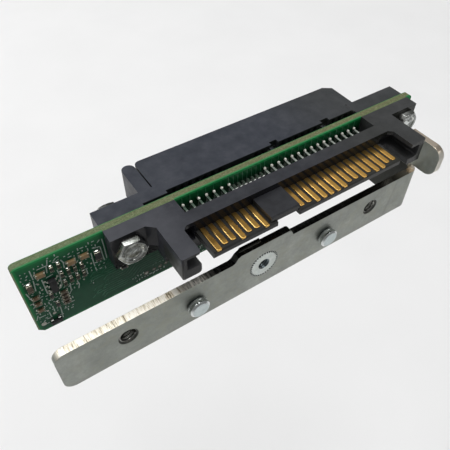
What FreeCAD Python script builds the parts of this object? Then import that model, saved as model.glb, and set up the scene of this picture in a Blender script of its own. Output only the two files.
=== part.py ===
import FreeCAD, Part
import math
import os

# Adapter board: a circuit board on edge, a plug on its front face and a
# receptacle on its back face, clamped through the board by two hex screws,
# with a folded steel bracket below the plug.  Millimetres.
#
# Board coordinates used for the numbers below:
#   x  along the board, 0 just before the first signal contact
#   y  0 at the board's front face, positive to the back
#   z  0 at the board's top edge, negative downwards
# Part origin: centre thread of the bracket, on the strip's front face.

# ---------------------------------------------------------------- dimensions
PITCH = 1.27                 # signal and power contact pitch
FINE = 0.80                  # secondary contact pitch
FIRST = 0.18                 # first signal contact
N_SIG, N_POW, N_SEC = 7, 15, 7
X_POW = FIRST + 13.97        # first power contact
X_SEC = FIRST + 10.795 - 3 * FINE    # first secondary contact

BOARD_X0, BOARD_X1 = -23.23, 44.85
BOARD_T, BOARD_H = 1.2, 13.74

EAR_X0, EAR_X1 = -11.4, 43.45      # plug ears
EAR_T, EAR_H = 2.2, 5.5
BAR_Y0, BAR_Y1, BAR_H = -4.95, -2.8, 5.0
SLOT_X0, SLOT_X1 = -1.0, 33.2      # gap between plug bar and board
ARM_H = 4.0
LARM_X0, LARM_X1, LARM_Y = -5.43, -2.68, -9.62
LARM_WALL, LARM_ROOF, LARM_FLOOR = -4.75, -0.42, -2.42   # channel in the left arm
RARM_X0, RARM_X1, RARM_Y = 34.70, 37.67, -9.42
RARM_WALL, RARM_ROOF, RARM_FLOOR = 36.58, -0.65, -2.85   # channel in the right arm
NOSE = 0.20                        # lead-in chamfer along the tongue's front
POCKET_Y = -3.70                   # recesses in the bar beside the tongue
LPOCKET_X, RPOCKET_X = -0.82, 32.47
CORNER = 0.6                       # gussets between bar and arms
TONGUE_Y, TONGUE_TOP, TONGUE_BOT = -9.50, -1.93, -3.01
TONGUE_X0, TONGUE_XS, TONGUE_XP, TONGUE_X1 = -0.72, 9.5, 13.42, 32.75
BRIDGE_X0, BRIDGE_X1, BRIDGE_Y = 8.5, 13.3, -9.2
BRIDGE_TOP, BRIDGE_BOT = -1.0, -2.2
FINGER_W, FINGER_TOP, FINGER_T = 0.84, -1.78, 0.30
TIP_LONG, TIP_SHORT = -9.42, -8.92   # finger tip positions
FINGER_EDGE = 0.09                 # chamfer round the top of each finger
TAIL_W = 0.36

REC_X0, REC_X1 = -2.27, 34.8       # receptacle body
REC_Y0, REC_Y1, REC_H = 2.2, 9.75, 5.6
REAR_EAR_X0, REAR_EAR_X1, REAR_EAR_Y = -11.5, 43.5, 3.85
POST_X0, POST_X1, POST_Y = -4.43, -2.45, 9.85

SCREW_X = (-8.93, 41.08)
SCREW_Z = -2.5
SCREW_R, SCREW_HOLE_R = 0.98, 1.10
HEX_AF, HEX_H, NUT_H = 3.8, 1.25, 1.1
NUT_SEAT = (REAR_EAR_Y, 2.60)      # left nut on the ear, right nut in a side-open trap
SCREW_END = (REAR_EAR_Y + 1.5, 3.80)

SHEET = 1.2                        # bracket steel
BEND_R = 1.5                       # outside bend radius
STRIP_Y = -8.0                     # strip front face
STRIP_X0, WALL_X = -23.29, 41.29   # strip free end, wall outer face
STRIP_Z0, STRIP_Z1 = -17.12, -8.87
TAB_Y, TAB_Z0, TAB_Z1, TAB_R = -11.43, -8.0, -2.52, 1.9
FLANGE_X0, FLANGE_Z0, FLANGE_Z1 = 27.5, -13.5, -6.2
HOLE_SPACING, HOLE_X, HOLE_R = 44.45, 8.73, 1.25
BOSS_R, BOSS_L = 1.85, 0.95        # drawn collars behind the tapped holes
SINK_R, SINK_L = 1.50, 0.25        # chamfer at the mouth of the tapped holes
NUT_X, NUT_Z, NUT_R, NUT_THREAD_R = 9.0, -12.4, 2.55, 0.80
PIN_SPACING, PIN_X, PIN_Z, PIN_R, PIN_L = 24.1, 9.1, -13.2, 1.60, 1.35
FLANGE_SCREWS = ((36.5, -10.0), (30.5, -10.0))

ORIGIN = FreeCAD.Vector(-NUT_X, -STRIP_Y, -NUT_Z)   # board -> part frame


# ------------------------------------------------------------------- helpers
def V(x, y, z):
    return FreeCAD.Vector(x, y, z)


def box(x0, x1, y0, y1, z0, z1):
    return Part.makeBox(x1 - x0, y1 - y0, z1 - z0, V(x0, y0, z0))


def cyl_y(x, z, r, y0, y1):
    return Part.makeCylinder(r, y1 - y0, V(x, y0, z), V(0, 1, 0))


def prism(points, direction):
    """Closed polygon extruded along a vector."""
    wire = Part.makePolygon(list(points) + [points[0]])
    return Part.Face(wire).extrude(direction)


def profile(edges, direction):
    return Part.Face(Part.Wire(edges)).extrude(direction)


def line(a, b):
    return Part.LineSegment(a, b).toShape()


def arc(a, m, b):
    return Part.Arc(a, m, b).toShape()


def fuse(shapes):
    out = shapes[0].multiFuse(shapes[1:]) if len(shapes) > 1 else shapes[0]
    return out.removeSplitter()


def edges_along(shape, axis, test):
    """Straight edges parallel to an axis (0, 1, 2) whose middle passes test."""
    found = []
    for e in shape.Edges:
        if len(e.Vertexes) != 2:
            continue
        d = e.Vertexes[1].Point.sub(e.Vertexes[0].Point)
        c = [abs(d.x), abs(d.y), abs(d.z)]
        if c[axis] > 1e-6 and sum(c) - c[axis] < 1e-6:
            m = e.CenterOfMass
            if test(m.x, m.y, m.z):
                found.append(e)
    return found


def hexagon(x, z, af, y0, y1):
    """Hexagonal prism along y with a flat on top, corners trimmed on both ends."""
    rc = af / math.sqrt(3.0)
    pts = [V(x + rc * math.cos(math.radians(60 * k)), y0,
             z + rc * math.sin(math.radians(60 * k))) for k in range(6)]
    h = prism(pts, V(0, y1 - y0, 0))
    drum = Part.makeCylinder(rc * 0.985, y1 - y0, V(x, y0, z), V(0, 1, 0))
    drum = drum.makeChamfer(rc * 0.10, [e for e in drum.Edges if e.Closed])
    return h.common(drum)


def save(name, solids):
    solids = list(solids) if isinstance(solids, (list, tuple)) else [solids]
    out = []
    for s in solids:
        s = s.copy()
        s.translate(ORIGIN)
        out.extend(s.Solids)
    shape = out[0] if len(out) == 1 else Part.makeCompound(out)
    shape.exportStep("parts/%s.step" % name)
    print(name, len(out), "solids", "valid", all(s.isValid() for s in out),
          "volume %.3f" % sum(s.Volume for s in out))


os.makedirs("parts", exist_ok=True)

SIG_X = [FIRST + PITCH * i for i in range(N_SIG)]
POW_X = [X_POW + PITCH * i for i in range(N_POW)]
SEC_X = [X_SEC + FINE * i for i in range(N_SEC)]
SIG_LONG = (0, 3, 6)
POW_LONG = (2, 3, 4, 5, 6, 9, 11, 12)

# ------------------------------------------------------------- circuit board
board = box(BOARD_X0, BOARD_X1, 0, BOARD_T, -BOARD_H, 0)
board = board.makeFillet(0.7, edges_along(board, 1, lambda x, y, z: z > -0.01))
board = board.makeChamfer(0.75, edges_along(board, 1, lambda x, y, z: z < -BOARD_H + 0.01))
for sx in SCREW_X:
    board = board.cut(cyl_y(sx, SCREW_Z, SCREW_HOLE_R, -1, BOARD_T + 1))
for fx, fz in FLANGE_SCREWS:
    board = board.cut(cyl_y(fx, fz, 1.05, -1, BOARD_T + 1))
save("circuit_board", board)


# -------------------------------------------------------------- plug contacts
def plug_contact(x, tip):
    """Finger on the tongue, shank through the bar, tail and foot on the board."""
    z1, z0 = FINGER_TOP, FINGER_TOP - FINGER_T
    finger = box(x - FINGER_W / 2, x + FINGER_W / 2, tip, BAR_Y0, z0, z1)
    finger = finger.makeFillet(0.22, edges_along(finger, 2, lambda a, b, c: b < tip + 0.01))
    rim = [e for e in finger.Edges if min(v.Z for v in e.Vertexes) > z1 - 1e-6 and min(v.Y for v in e.Vertexes) < BAR_Y0 - 1e-6]
    finger = finger.makeChamfer(FINGER_EDGE, rim)
    shank = box(x - TAIL_W / 2, x + TAIL_W / 2, BAR_Y0, 0, z0, z1)
    foot = box(x - TAIL_W / 2, x + TAIL_W / 2, -0.28, 0, z0 - 0.75, z0)
    return fuse([finger, shank, foot])


sig = [plug_contact(x, TIP_LONG if i in SIG_LONG else TIP_SHORT) for i, x in enumerate(SIG_X)]
pw = [plug_contact(x, TIP_LONG if i in POW_LONG else TIP_SHORT - 0.03) for i, x in enumerate(POW_X)]
save("plug_signal_contacts", sig)
save("plug_power_contacts", pw)

SEC_W, SEC_Z0, SEC_Z1 = 0.40, BRIDGE_BOT - 0.10, BRIDGE_BOT + 0.12
sec = []
for x in SEC_X:
    blade = box(x - SEC_W / 2, x + SEC_W / 2, -8.75, -0.28, SEC_Z0, SEC_Z1)
    foot = box(x - SEC_W / 2, x + SEC_W / 2, -0.28, 0, SEC_Z0 - 0.85, SEC_Z1)
    sec.append(fuse([blade, foot]))
save("plug_secondary_contacts", sec)

# --------------------------------------------------------------- plug housing
web = prism([V(-6.5, -EAR_T, -3.6), V(LARM_X0, -3.2, -3.6), V(LARM_X0, -EAR_T, -3.6)], V(0, 0, 3.6))
left_arm = box(LARM_X0, LARM_X1, LARM_Y, BAR_Y0, -ARM_H, 0)
left_arm = left_arm.makeFillet(0.5, edges_along(left_arm, 1, lambda x, y, z: x > LARM_X1 - 0.01 and z < -ARM_H + 0.01))
left_arm = left_arm.cut(box(LARM_WALL, LARM_X1 + 1, LARM_Y - 1, BAR_Y0 - 0.5, LARM_FLOOR, LARM_ROOF))
right_arm = box(RARM_X0, RARM_X1, RARM_Y, BAR_Y0, -ARM_H, 0)
right_arm = right_arm.makeChamfer(0.25, edges_along(right_arm, 1, lambda x, y, z: z < -ARM_H + 0.01))
channel = box(RARM_X0 - 1, RARM_WALL, RARM_Y - 1, BAR_Y0 + 0.01, RARM_FLOOR, RARM_ROOF)
channel = channel.makeFillet(0.35, edges_along(channel, 1, lambda x, y, z: x > RARM_WALL - 0.01))
right_arm = right_arm.cut(channel)
tongue_s = box(TONGUE_X0, TONGUE_XS, TONGUE_Y, BAR_Y0, TONGUE_BOT, TONGUE_TOP)
tongue_p = box(TONGUE_XP, TONGUE_X1, TONGUE_Y, BAR_Y0, TONGUE_BOT, TONGUE_TOP)
nose = lambda s: s.makeChamfer(NOSE, edges_along(s, 0, lambda x, y, z: y < TONGUE_Y + 0.01))
tongue_s, tongue_p = nose(tongue_s), nose(tongue_p)
bridge = box(BRIDGE_X0, BRIDGE_X1, BRIDGE_Y, BAR_Y0, BRIDGE_BOT, BRIDGE_TOP)
bridge = bridge.makeChamfer(0.18, edges_along(bridge, 0, lambda x, y, z: y < BRIDGE_Y + 0.01))
bridge_root = box(TONGUE_XS - 0.2, TONGUE_XP + 0.2, BAR_Y0 - 0.9, BAR_Y0, TONGUE_BOT, BRIDGE_BOT)
plug = fuse([
    box(EAR_X0, SLOT_X0, -EAR_T, 0, -EAR_H, 0),
    box(SLOT_X1, EAR_X1, -EAR_T, 0, -EAR_H, 0),
    box(LARM_X0, SLOT_X0, BAR_Y0, 0, -ARM_H, 0),
    box(SLOT_X1, RARM_X1, BAR_Y0, 0, -ARM_H, 0),
    box(LARM_X0, RARM_X1, BAR_Y0, BAR_Y1, -BAR_H, 0),
    web, left_arm, right_arm, tongue_s, tongue_p, bridge, bridge_root,
    prism([V(LARM_X1, BAR_Y0, LARM_ROOF), V(LARM_X1 + CORNER, BAR_Y0, LARM_ROOF), V(LARM_X1, BAR_Y0 - CORNER, LARM_ROOF)], V(0, 0, -LARM_ROOF)),
    prism([V(RARM_X0, BAR_Y0, RARM_ROOF), V(RARM_X0 - CORNER, BAR_Y0, RARM_ROOF), V(RARM_X0, BAR_Y0 - CORNER, RARM_ROOF)], V(0, 0, -RARM_ROOF))])
plug = plug.makeFillet(0.25, edges_along(
    plug, 2, lambda x, y, z: (x > RARM_X1 - 0.01 and y < RARM_Y + 0.01)
    or (x < LARM_X0 + 0.01 and y < LARM_Y + 0.01)))
plug = plug.makeFillet(0.4, edges_along(
    plug, 2, lambda x, y, z: abs(x - LARM_X1) < 0.01 and y < LARM_Y + 0.01 and z > LARM_ROOF))
cuts = [box(LARM_X1, LPOCKET_X, BAR_Y0 - 0.005, POCKET_Y, -3.4, -0.70)]
pocket = box(RPOCKET_X, RARM_WALL, BAR_Y0 - 0.005, POCKET_Y, RARM_FLOOR, RARM_ROOF)
cuts.append(pocket.makeFillet(0.6, edges_along(pocket, 1, lambda x, y, z: x < RPOCKET_X + 0.01 and z > RARM_ROOF - 0.01)))
for sx in SCREW_X:
    cuts.append(cyl_y(sx, SCREW_Z, SCREW_HOLE_R, -EAR_T - 1, 1))
for i, x in enumerate(SIG_X + POW_X):
    z1, z0 = FINGER_TOP, FINGER_TOP - FINGER_T
    long_tip = (i in SIG_LONG) if i < N_SIG else ((i - N_SIG) in POW_LONG)
    tip = TIP_LONG if long_tip else (TIP_SHORT if i < N_SIG else TIP_SHORT - 0.03)
    cuts.append(box(x - FINGER_W / 2, x + FINGER_W / 2, tip, BAR_Y0, z0, z1))
    cuts.append(box(x - TAIL_W / 2, x + TAIL_W / 2, BAR_Y0, BAR_Y1 + 0.5, z0, z1))
for x in SEC_X:
    cuts.append(box(x - SEC_W / 2, x + SEC_W / 2, -8.75, BAR_Y1 + 0.5, SEC_Z0, SEC_Z1))
plug = plug.cut(Part.makeCompound(cuts)).removeSplitter()
save("plug_housing", plug)

# -------------------------------------------------------- receptacle contacts
CAV_Y, CAV_X0, CAV_X1, CAV_Z0, CAV_Z1 = 4.6, -1.0, 32.75, -3.5, -1.35
BEAM_W, BEAM_T = 0.60, 0.25


def rec_contact(x, w, top):
    """Straight spring beam along the cavity with a rounded bump and a foot."""
    if top:
        z0, z1 = CAV_Z1 - BEAM_T, CAV_Z1
        bump_z, foot = z0, box(x - w / 2, x + w / 2, BOARD_T, BOARD_T + 0.28, z0 - 0.9, z1)
    else:
        z0, z1 = CAV_Z0, CAV_Z0 + BEAM_T
        bump_z, foot = z1, box(x - w / 2, x + w / 2, BOARD_T, BOARD_T + 0.28, z0 - 0.8, z1)
    beam = box(x - w / 2, x + w / 2, BOARD_T + 0.28, 8.9, z0, z1)
    bump = Part.makeCylinder(0.22, w, V(x - w / 2, 7.9, bump_z), V(1, 0, 0))
    keep = box(x - w, x + w, 7, 9, bump_z - (0.3 if top else 0), bump_z + (0 if top else 0.3))
    return fuse([beam, foot, bump.common(keep)])


save("receptacle_signal_contacts", [rec_contact(x, BEAM_W, True) for x in SIG_X])
save("receptacle_power_contacts", [rec_contact(x, BEAM_W, True) for x in POW_X])
save("receptacle_secondary_contacts", [rec_contact(x, 0.36, False) for x in SEC_X])

# --------------------------------------------------------- receptacle housing
body = box(REC_X0, REC_X1, REC_Y0, REC_Y1, -REC_H, 0)
body = body.makeFillet(0.8, edges_along(body, 2, lambda x, y, z: x < REC_X0 + 0.01 and y > REC_Y1 - 0.01))
corner = prism([V(33.25, REC_Y1 + 0.1, -6), V(REC_X1 + 0.1, 8.72, -6), V(REC_X1 + 0.1, REC_Y1 + 0.1, -6)], V(0, 0, 7))
body = body.cut(corner)
pr = (POST_X1 - POST_X0) / 2
post = fuse([box(POST_X0, POST_X1, 3.6, POST_Y - pr, -5.0, -0.08),
             Part.makeCylinder(pr, 4.92, V(POST_X0 + pr, POST_Y - pr, -5.0), V(0, 0, 1))])
receptacle = fuse([
    body, post,
    box(REAR_EAR_X0, -4.9, BOARD_T, REAR_EAR_Y, -EAR_H, 0),
    box(-4.9, -1.1, BOARD_T + 0.45, REAR_EAR_Y, -EAR_H, 0),
    box(33.4, REAR_EAR_X1, BOARD_T, REAR_EAR_Y, -EAR_H, 0)])
cuts = [cyl_y(sx, SCREW_Z, SCREW_HOLE_R, 0, 6) for sx in SCREW_X]
cuts.append(box(SCREW_X[1] - 2.3, REAR_EAR_X1 + 1, NUT_SEAT[1], REAR_EAR_Y + 1,
                SCREW_Z - HEX_AF / 2 - 0.05, SCREW_Z + HEX_AF / 2 + 0.05))   # nut trap
cuts.append(box(CAV_X0, CAV_X1, CAV_Y, REC_Y1 + 1, CAV_Z0, CAV_Z1))
mouth = [V(CAV_X0 - 0.4, REC_Y1 + 0.1, CAV_Z0 - 0.4), V(CAV_X0 - 0.4, REC_Y1 + 0.1, CAV_Z1 + 0.4),
         V(CAV_X0 - 0.4, REC_Y1 - 0.45, CAV_Z1 - 0.05), V(CAV_X0 - 0.4, REC_Y1 - 0.45, CAV_Z0 + 0.05)]
cuts.append(prism(mouth, V(CAV_X1 - CAV_X0 + 0.8, 0, 0)))
cuts.append(prism([V(33.25, 1.95, 0.05), V(33.70, 1.95, 0.05), V(33.25, 1.95, -0.40)], V(0, 1.9, 0)))   # ear groove
for a, b in ((16.93, 18.25), (26.92, 28.41)):
    cuts.append(box(a, b, REC_Y0 - 1, REC_Y0 + 0.65, -1.1, 1))
for x in SIG_X + POW_X:
    cuts.append(box(x - BEAM_W / 2, x + BEAM_W / 2, REC_Y0 - 0.5, CAV_Y + 0.2, CAV_Z1 - BEAM_T, CAV_Z1))
    cuts.append(box(x - 0.36, x + 0.36, REC_Y0 - 0.5, REC_Y0 + 0.6, CAV_Z1 - BEAM_T - 0.2, -0.28))
for x in SEC_X:
    cuts.append(box(x - 0.18, x + 0.18, REC_Y0 - 0.5, CAV_Y + 0.2, CAV_Z0, CAV_Z0 + BEAM_T))
receptacle = receptacle.cut(Part.makeCompound(cuts)).removeSplitter()
save("receptacle_housing", receptacle)

# ------------------------------------------------------------ clamp hardware
screws, nuts = [], []
for sx, seat, end in zip(SCREW_X, NUT_SEAT, SCREW_END):
    head = hexagon(sx, SCREW_Z, HEX_AF, -EAR_T - HEX_H, -EAR_T)
    head = head.cut(Part.makeCone(1.30, 1.05, 0.22, V(sx, -EAR_T - HEX_H, SCREW_Z), V(0, 1, 0)))
    shank = cyl_y(sx, SCREW_Z, SCREW_R, -EAR_T, end)
    shank = shank.makeChamfer(0.1, [e for e in shank.Edges if e.Closed and e.CenterOfMass.y > 3])
    screws.append(fuse([head, shank]))
    nut = hexagon(sx, SCREW_Z, HEX_AF, seat, seat + NUT_H)
    nuts.append(nut.cut(cyl_y(sx, SCREW_Z, SCREW_R, 0, 9)))
save("clamp_screws", screws)
save("clamp_nuts", nuts)

bracket_screws = []
for fx, fz in FLANGE_SCREWS:
    head = cyl_y(fx, fz, 1.75, BOARD_T, BOARD_T + 1.2)
    head = head.makeFillet(0.5, [e for e in head.Edges if e.Closed and e.CenterOfMass.y > BOARD_T + 1])
    for w, h in ((0.45, 2.0), (2.0, 0.45)):
        head = head.cut(box(fx - w / 2, fx + w / 2, BOARD_T + 0.5, BOARD_T + 2, fz - h / 2, fz + h / 2))
    bracket_screws.append(fuse([head, cyl_y(fx, fz, SCREW_R, -1.7, BOARD_T)]))
save("bracket_screws", bracket_screws)

# ------------------------------------------------------------------- bracket
RI = BEND_R - SHEET
S45 = math.sqrt(0.5)
xb, yf = WALL_X - BEND_R, STRIP_Y + BEND_R
z = STRIP_Z0
strip = profile([
    line(V(STRIP_X0, STRIP_Y, z), V(xb, STRIP_Y, z)),
    arc(V(xb, STRIP_Y, z), V(xb + BEND_R * S45, yf - BEND_R * S45, z), V(WALL_X, yf, z)),
    line(V(WALL_X, yf, z), V(WALL_X, -BEND_R, z)),
    line(V(WALL_X, -BEND_R, z), V(WALL_X - SHEET, -BEND_R, z)),
    line(V(WALL_X - SHEET, -BEND_R, z), V(WALL_X - SHEET, yf, z)),
    arc(V(WALL_X - SHEET, yf, z), V(xb + RI * S45, yf - RI * S45, z), V(xb, STRIP_Y + SHEET, z)),
    line(V(xb, STRIP_Y + SHEET, z), V(STRIP_X0, STRIP_Y + SHEET, z)),
    line(V(STRIP_X0, STRIP_Y + SHEET, z), V(STRIP_X0, STRIP_Y, z))], V(0, 0, STRIP_Z1 - STRIP_Z0))
strip = strip.makeFillet(1.7, edges_along(strip, 1, lambda x, y, zz: x < STRIP_X0 + 0.01))

z = FLANGE_Z0
flange = profile([
    line(V(WALL_X, -BEND_R, z), V(WALL_X - SHEET, -BEND_R, z)),
    arc(V(WALL_X - SHEET, -BEND_R, z), V(xb + RI * S45, -BEND_R + RI * S45, z), V(xb, -SHEET, z)),
    line(V(xb, -SHEET, z), V(FLANGE_X0, -SHEET, z)),
    line(V(FLANGE_X0, -SHEET, z), V(FLANGE_X0, 0, z)),
    line(V(FLANGE_X0, 0, z), V(xb, 0, z)),
    arc(V(xb, 0, z), V(xb + BEND_R * S45, -BEND_R + BEND_R * S45, z), V(WALL_X, -BEND_R, z))],
    V(0, 0, FLANGE_Z1 - FLANGE_Z0))
flange = flange.makeFillet(1.2, edges_along(flange, 1, lambda x, y, zz: x < FLANGE_X0 + 0.01))

# wall plane above the strip, with the forward tab and the bend relief
x = WALL_X - SHEET
r, k = TAB_R, TAB_R * (1 - S45)
tab = profile([
    line(V(x, -BEND_R, -9.2), V(x, -BEND_R, FLANGE_Z1)),
    line(V(x, -BEND_R, FLANGE_Z1), V(x, -3.4, FLANGE_Z1)),
    line(V(x, -3.4, FLANGE_Z1), V(x, -4.1, -5.4)),
    line(V(x, -4.1, -5.4), V(x, -4.1, TAB_Z1 - 0.8)),
    line(V(x, -4.1, TAB_Z1 - 0.8), V(x, -4.9, TAB_Z1)),
    line(V(x, -4.9, TAB_Z1), V(x, TAB_Y + r, TAB_Z1)),
    arc(V(x, TAB_Y + r, TAB_Z1), V(x, TAB_Y + k, TAB_Z1 - k), V(x, TAB_Y, TAB_Z1 - r)),
    line(V(x, TAB_Y, TAB_Z1 - r), V(x, TAB_Y, TAB_Z0 + r)),
    arc(V(x, TAB_Y, TAB_Z0 + r), V(x, TAB_Y + k, TAB_Z0 + k), V(x, TAB_Y + r, TAB_Z0)),
    line(V(x, TAB_Y + r, TAB_Z0), V(x, -7.0, TAB_Z0)),
    line(V(x, -7.0, TAB_Z0), V(x, -6.5, -8.2)),
    line(V(x, -6.5, -8.2), V(x, yf, -8.6)),
    line(V(x, yf, -8.6), V(x, yf, -9.2)),
    line(V(x, yf, -9.2), V(x, -BEND_R, -9.2))], V(SHEET, 0, 0))

# lower rear corner of the wall, passing under the board
heel = box(WALL_X - SHEET, WALL_X, -BEND_R - 0.3, 1.0, STRIP_Z0, -14.3)

# raised land on the strip's top edge, with a thin lip on its back half
land = prism([V(3.3, STRIP_Y, -9.3), V(3.3, STRIP_Y, STRIP_Z1), V(3.75, STRIP_Y, -8.62), V(4.2, STRIP_Y, -7.95),
              V(4.7, STRIP_Y, -7.65), V(13.35, STRIP_Y, -7.65), V(13.8, STRIP_Y, -7.95), V(14.2, STRIP_Y, STRIP_Z1),
              V(14.2, STRIP_Y, -9.3)], V(0, SHEET, 0))
lip = prism([V(4.6, STRIP_Y + 0.7, -7.9), V(5.1, STRIP_Y + 0.7, -7.25), V(8.5, STRIP_Y + 0.7, -7.25),
             V(8.7, STRIP_Y + 0.7, -7.9)], V(0, SHEET - 0.7, 0))

bosses = [cyl_y(HOLE_X + s * HOLE_SPACING, NUT_Z, BOSS_R, STRIP_Y + SHEET - 0.2, STRIP_Y + SHEET + BOSS_L) for s in (-0.5, 0.5)]
bracket = fuse([strip, flange, tab, heel, land, lip] + bosses)
cuts = []
for s in (-0.5, 0.5):
    hx = HOLE_X + s * HOLE_SPACING
    cuts.append(cyl_y(hx, NUT_Z, HOLE_R, STRIP_Y - 1, STRIP_Y + 4))
    cuts.append(Part.makeCone(SINK_R, HOLE_R, SINK_L, V(hx, STRIP_Y, NUT_Z), V(0, 1, 0)))
    cuts.append(cyl_y(PIN_X + s * PIN_SPACING, PIN_Z, 1.25, STRIP_Y - 1, STRIP_Y + 3))
cuts.append(cyl_y(NUT_X, NUT_Z, NUT_R, STRIP_Y - 1, STRIP_Y + 3))
for fx, fz in FLANGE_SCREWS:
    cuts.append(cyl_y(fx, fz, SCREW_R, -3, 1))
for c in cuts:
    bracket = bracket.cut(c)
bracket = bracket.removeSplitter()
save("mounting_bracket", bracket)

pins = []
for s in (-0.5, 0.5):
    px = PIN_X + s * PIN_SPACING
    barrel = cyl_y(px, PIN_Z, PIN_R, STRIP_Y - PIN_L, STRIP_Y - 0.2)
    barrel = barrel.makeChamfer(0.24, [e for e in barrel.Edges if e.Closed and e.CenterOfMass.y < STRIP_Y - PIN_L + 0.01])
    pins.append(fuse([barrel, cyl_y(px, PIN_Z, 1.42, STRIP_Y - 0.2, STRIP_Y),
                      cyl_y(px, PIN_Z, 1.25, STRIP_Y, STRIP_Y + SHEET)]))
save("locating_pins", pins)

nut = fuse([cyl_y(NUT_X, NUT_Z, NUT_R, STRIP_Y, STRIP_Y + SHEET),
            cyl_y(NUT_X, NUT_Z, 2.05, STRIP_Y + SHEET, STRIP_Y + SHEET + 1.4)])
save("centre_clinch_nut", nut.cut(cyl_y(NUT_X, NUT_Z, NUT_THREAD_R, STRIP_Y - 1, STRIP_Y + 4)))


# --------------------------------------------------------- parts on the board
# (x, z) below are in the part frame; each part sits on the board's front face
def chip(xp, zp, lx, lz, h, term=0.0):
    """Chip part: ceramic body with end caps slightly proud along its length."""
    xb_, zb_ = xp + NUT_X, zp + NUT_Z
    b = box(xb_ - lx / 2, xb_ + lx / 2, -h, 0, zb_ - lz / 2, zb_ + lz / 2)
    if term <= 0:
        return b
    p = 0.03
    if lx >= lz:
        caps = [box(xb_ + s * (lx / 2 - term / 2) - term / 2, xb_ + s * (lx / 2 - term / 2) + term / 2,
                    -h - p, 0, zb_ - lz / 2 - p, zb_ + lz / 2 + p) for s in (-1, 1)]
    else:
        caps = [box(xb_ - lx / 2 - p, xb_ + lx / 2 + p, -h - p, 0,
                    zb_ + s * (lz / 2 - term / 2) - term / 2, zb_ + s * (lz / 2 - term / 2) + term / 2) for s in (-1, 1)]
    return fuse([b] + caps)


save("bulk_capacitors", [chip(a, b, 1.20, 0.74, 0.45, 0.22)
                         for a, b in ((-29.26, 9.88), (-25.27, 9.72), (-23.50, 9.78))])
save("tall_capacitor", chip(-31.00, 8.33, 0.72, 1.45, 0.45, 0.36))
save("sense_resistor", chip(-21.82, 8.70, 0.85, 1.70, 0.45, 0.38))
save("coupling_capacitors", [chip(a, b, 0.46, 0.95, 0.42, 0.25) for a, b in (
    (-27.78, 10.10), (-26.83, 10.12), (-26.82, 8.27), (-25.93, 8.36), (-25.08, 8.28), (-24.14, 8.24),
    (-26.79, 6.43), (-25.92, 6.65), (-25.05, 6.55), (-24.15, 6.54))])
save("filter_capacitors", [chip(-27.38, b, 0.95, 0.46, 0.42, 0.22) for b in (4.86, 4.12, 3.38, 2.64)])
save("edge_capacitors", [chip(-30.84, b, 0.95, 0.50, 0.42, 0.22) for b in (6.08, 4.85, 3.45)])
save("chip_resistors", [chip(a, b, 0.50, 1.00, 0.32, 0.22) for a, b in ((-28.95, 5.18), (-28.60, 3.00))]
     + [chip(-18.70, 4.05, 1.00, 0.50, 0.32, 0.22)])


def leaded(xp, zp, bx, bz, h, leads):
    """Moulded body standing 0.1 off the board on gull-wing leads."""
    xb_, zb_ = xp + NUT_X, zp + NUT_Z
    body_ = box(xb_ - bx / 2, xb_ + bx / 2, -h, -0.1, zb_ - bz / 2, zb_ + bz / 2)
    out = [body_]
    for side, off, w in leads:
        if side in "LR":
            s = -1 if side == "L" else 1
            e = xb_ + s * bx / 2
            a, b = sorted((e - s * 0.1, e + s * 0.30))
            out.append(box(a, b, -0.40, -0.27, zb_ + off - w / 2, zb_ + off + w / 2))
            a, b = sorted((e + s * 0.16, e + s * 0.30))
            out.append(box(a, b, -0.40, 0, zb_ + off - w / 2, zb_ + off + w / 2))
            a, b = sorted((e + s * 0.16, e + s * 0.52))
            out.append(box(a, b, -0.14, 0, zb_ + off - w / 2, zb_ + off + w / 2))
        else:
            s = 1 if side == "T" else -1
            e = zb_ + s * bz / 2
            a, b = sorted((e - s * 0.1, e + s * 0.30))
            out.append(box(xb_ + off - w / 2, xb_ + off + w / 2, -0.40, -0.27, a, b))
            a, b = sorted((e + s * 0.16, e + s * 0.30))
            out.append(box(xb_ + off - w / 2, xb_ + off + w / 2, -0.40, 0, a, b))
            a, b = sorted((e + s * 0.16, e + s * 0.52))
            out.append(box(xb_ + off - w / 2, xb_ + off + w / 2, -0.14, 0, a, b))
    return fuse(out)


save("logic_chip", leaded(-28.25, 7.22, 0.95, 2.45, 0.68,
                          [(side, o, 0.34) for side in "LR" for o in (-0.97, 0.02, 0.98)]))
save("switch_transistor", leaded(-29.60, -0.18, 1.60, 0.62, 0.52,
                                 [("T", -0.52, 0.32), ("T", 0.52, 0.32), ("B", 0.0, 0.32)]))

# multiplexer on the back face of the board's left end, leadless square package
mx, mz, ms, mh = -26.6 + NUT_X, 5.6 + NUT_Z, 8.0, 0.9
mux = box(mx - ms / 2, mx + ms / 2, BOARD_T, BOARD_T + mh, mz - ms / 2, mz + ms / 2)
mux = mux.makeChamfer(0.12, [e for e in mux.Edges if e.CenterOfMass.y > BOARD_T + mh - 0.01])
save("multiplexer_chip", mux)
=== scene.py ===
import math
import random

import bmesh
import bpy
import numpy as np
from mathutils import Matrix, Vector

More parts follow.
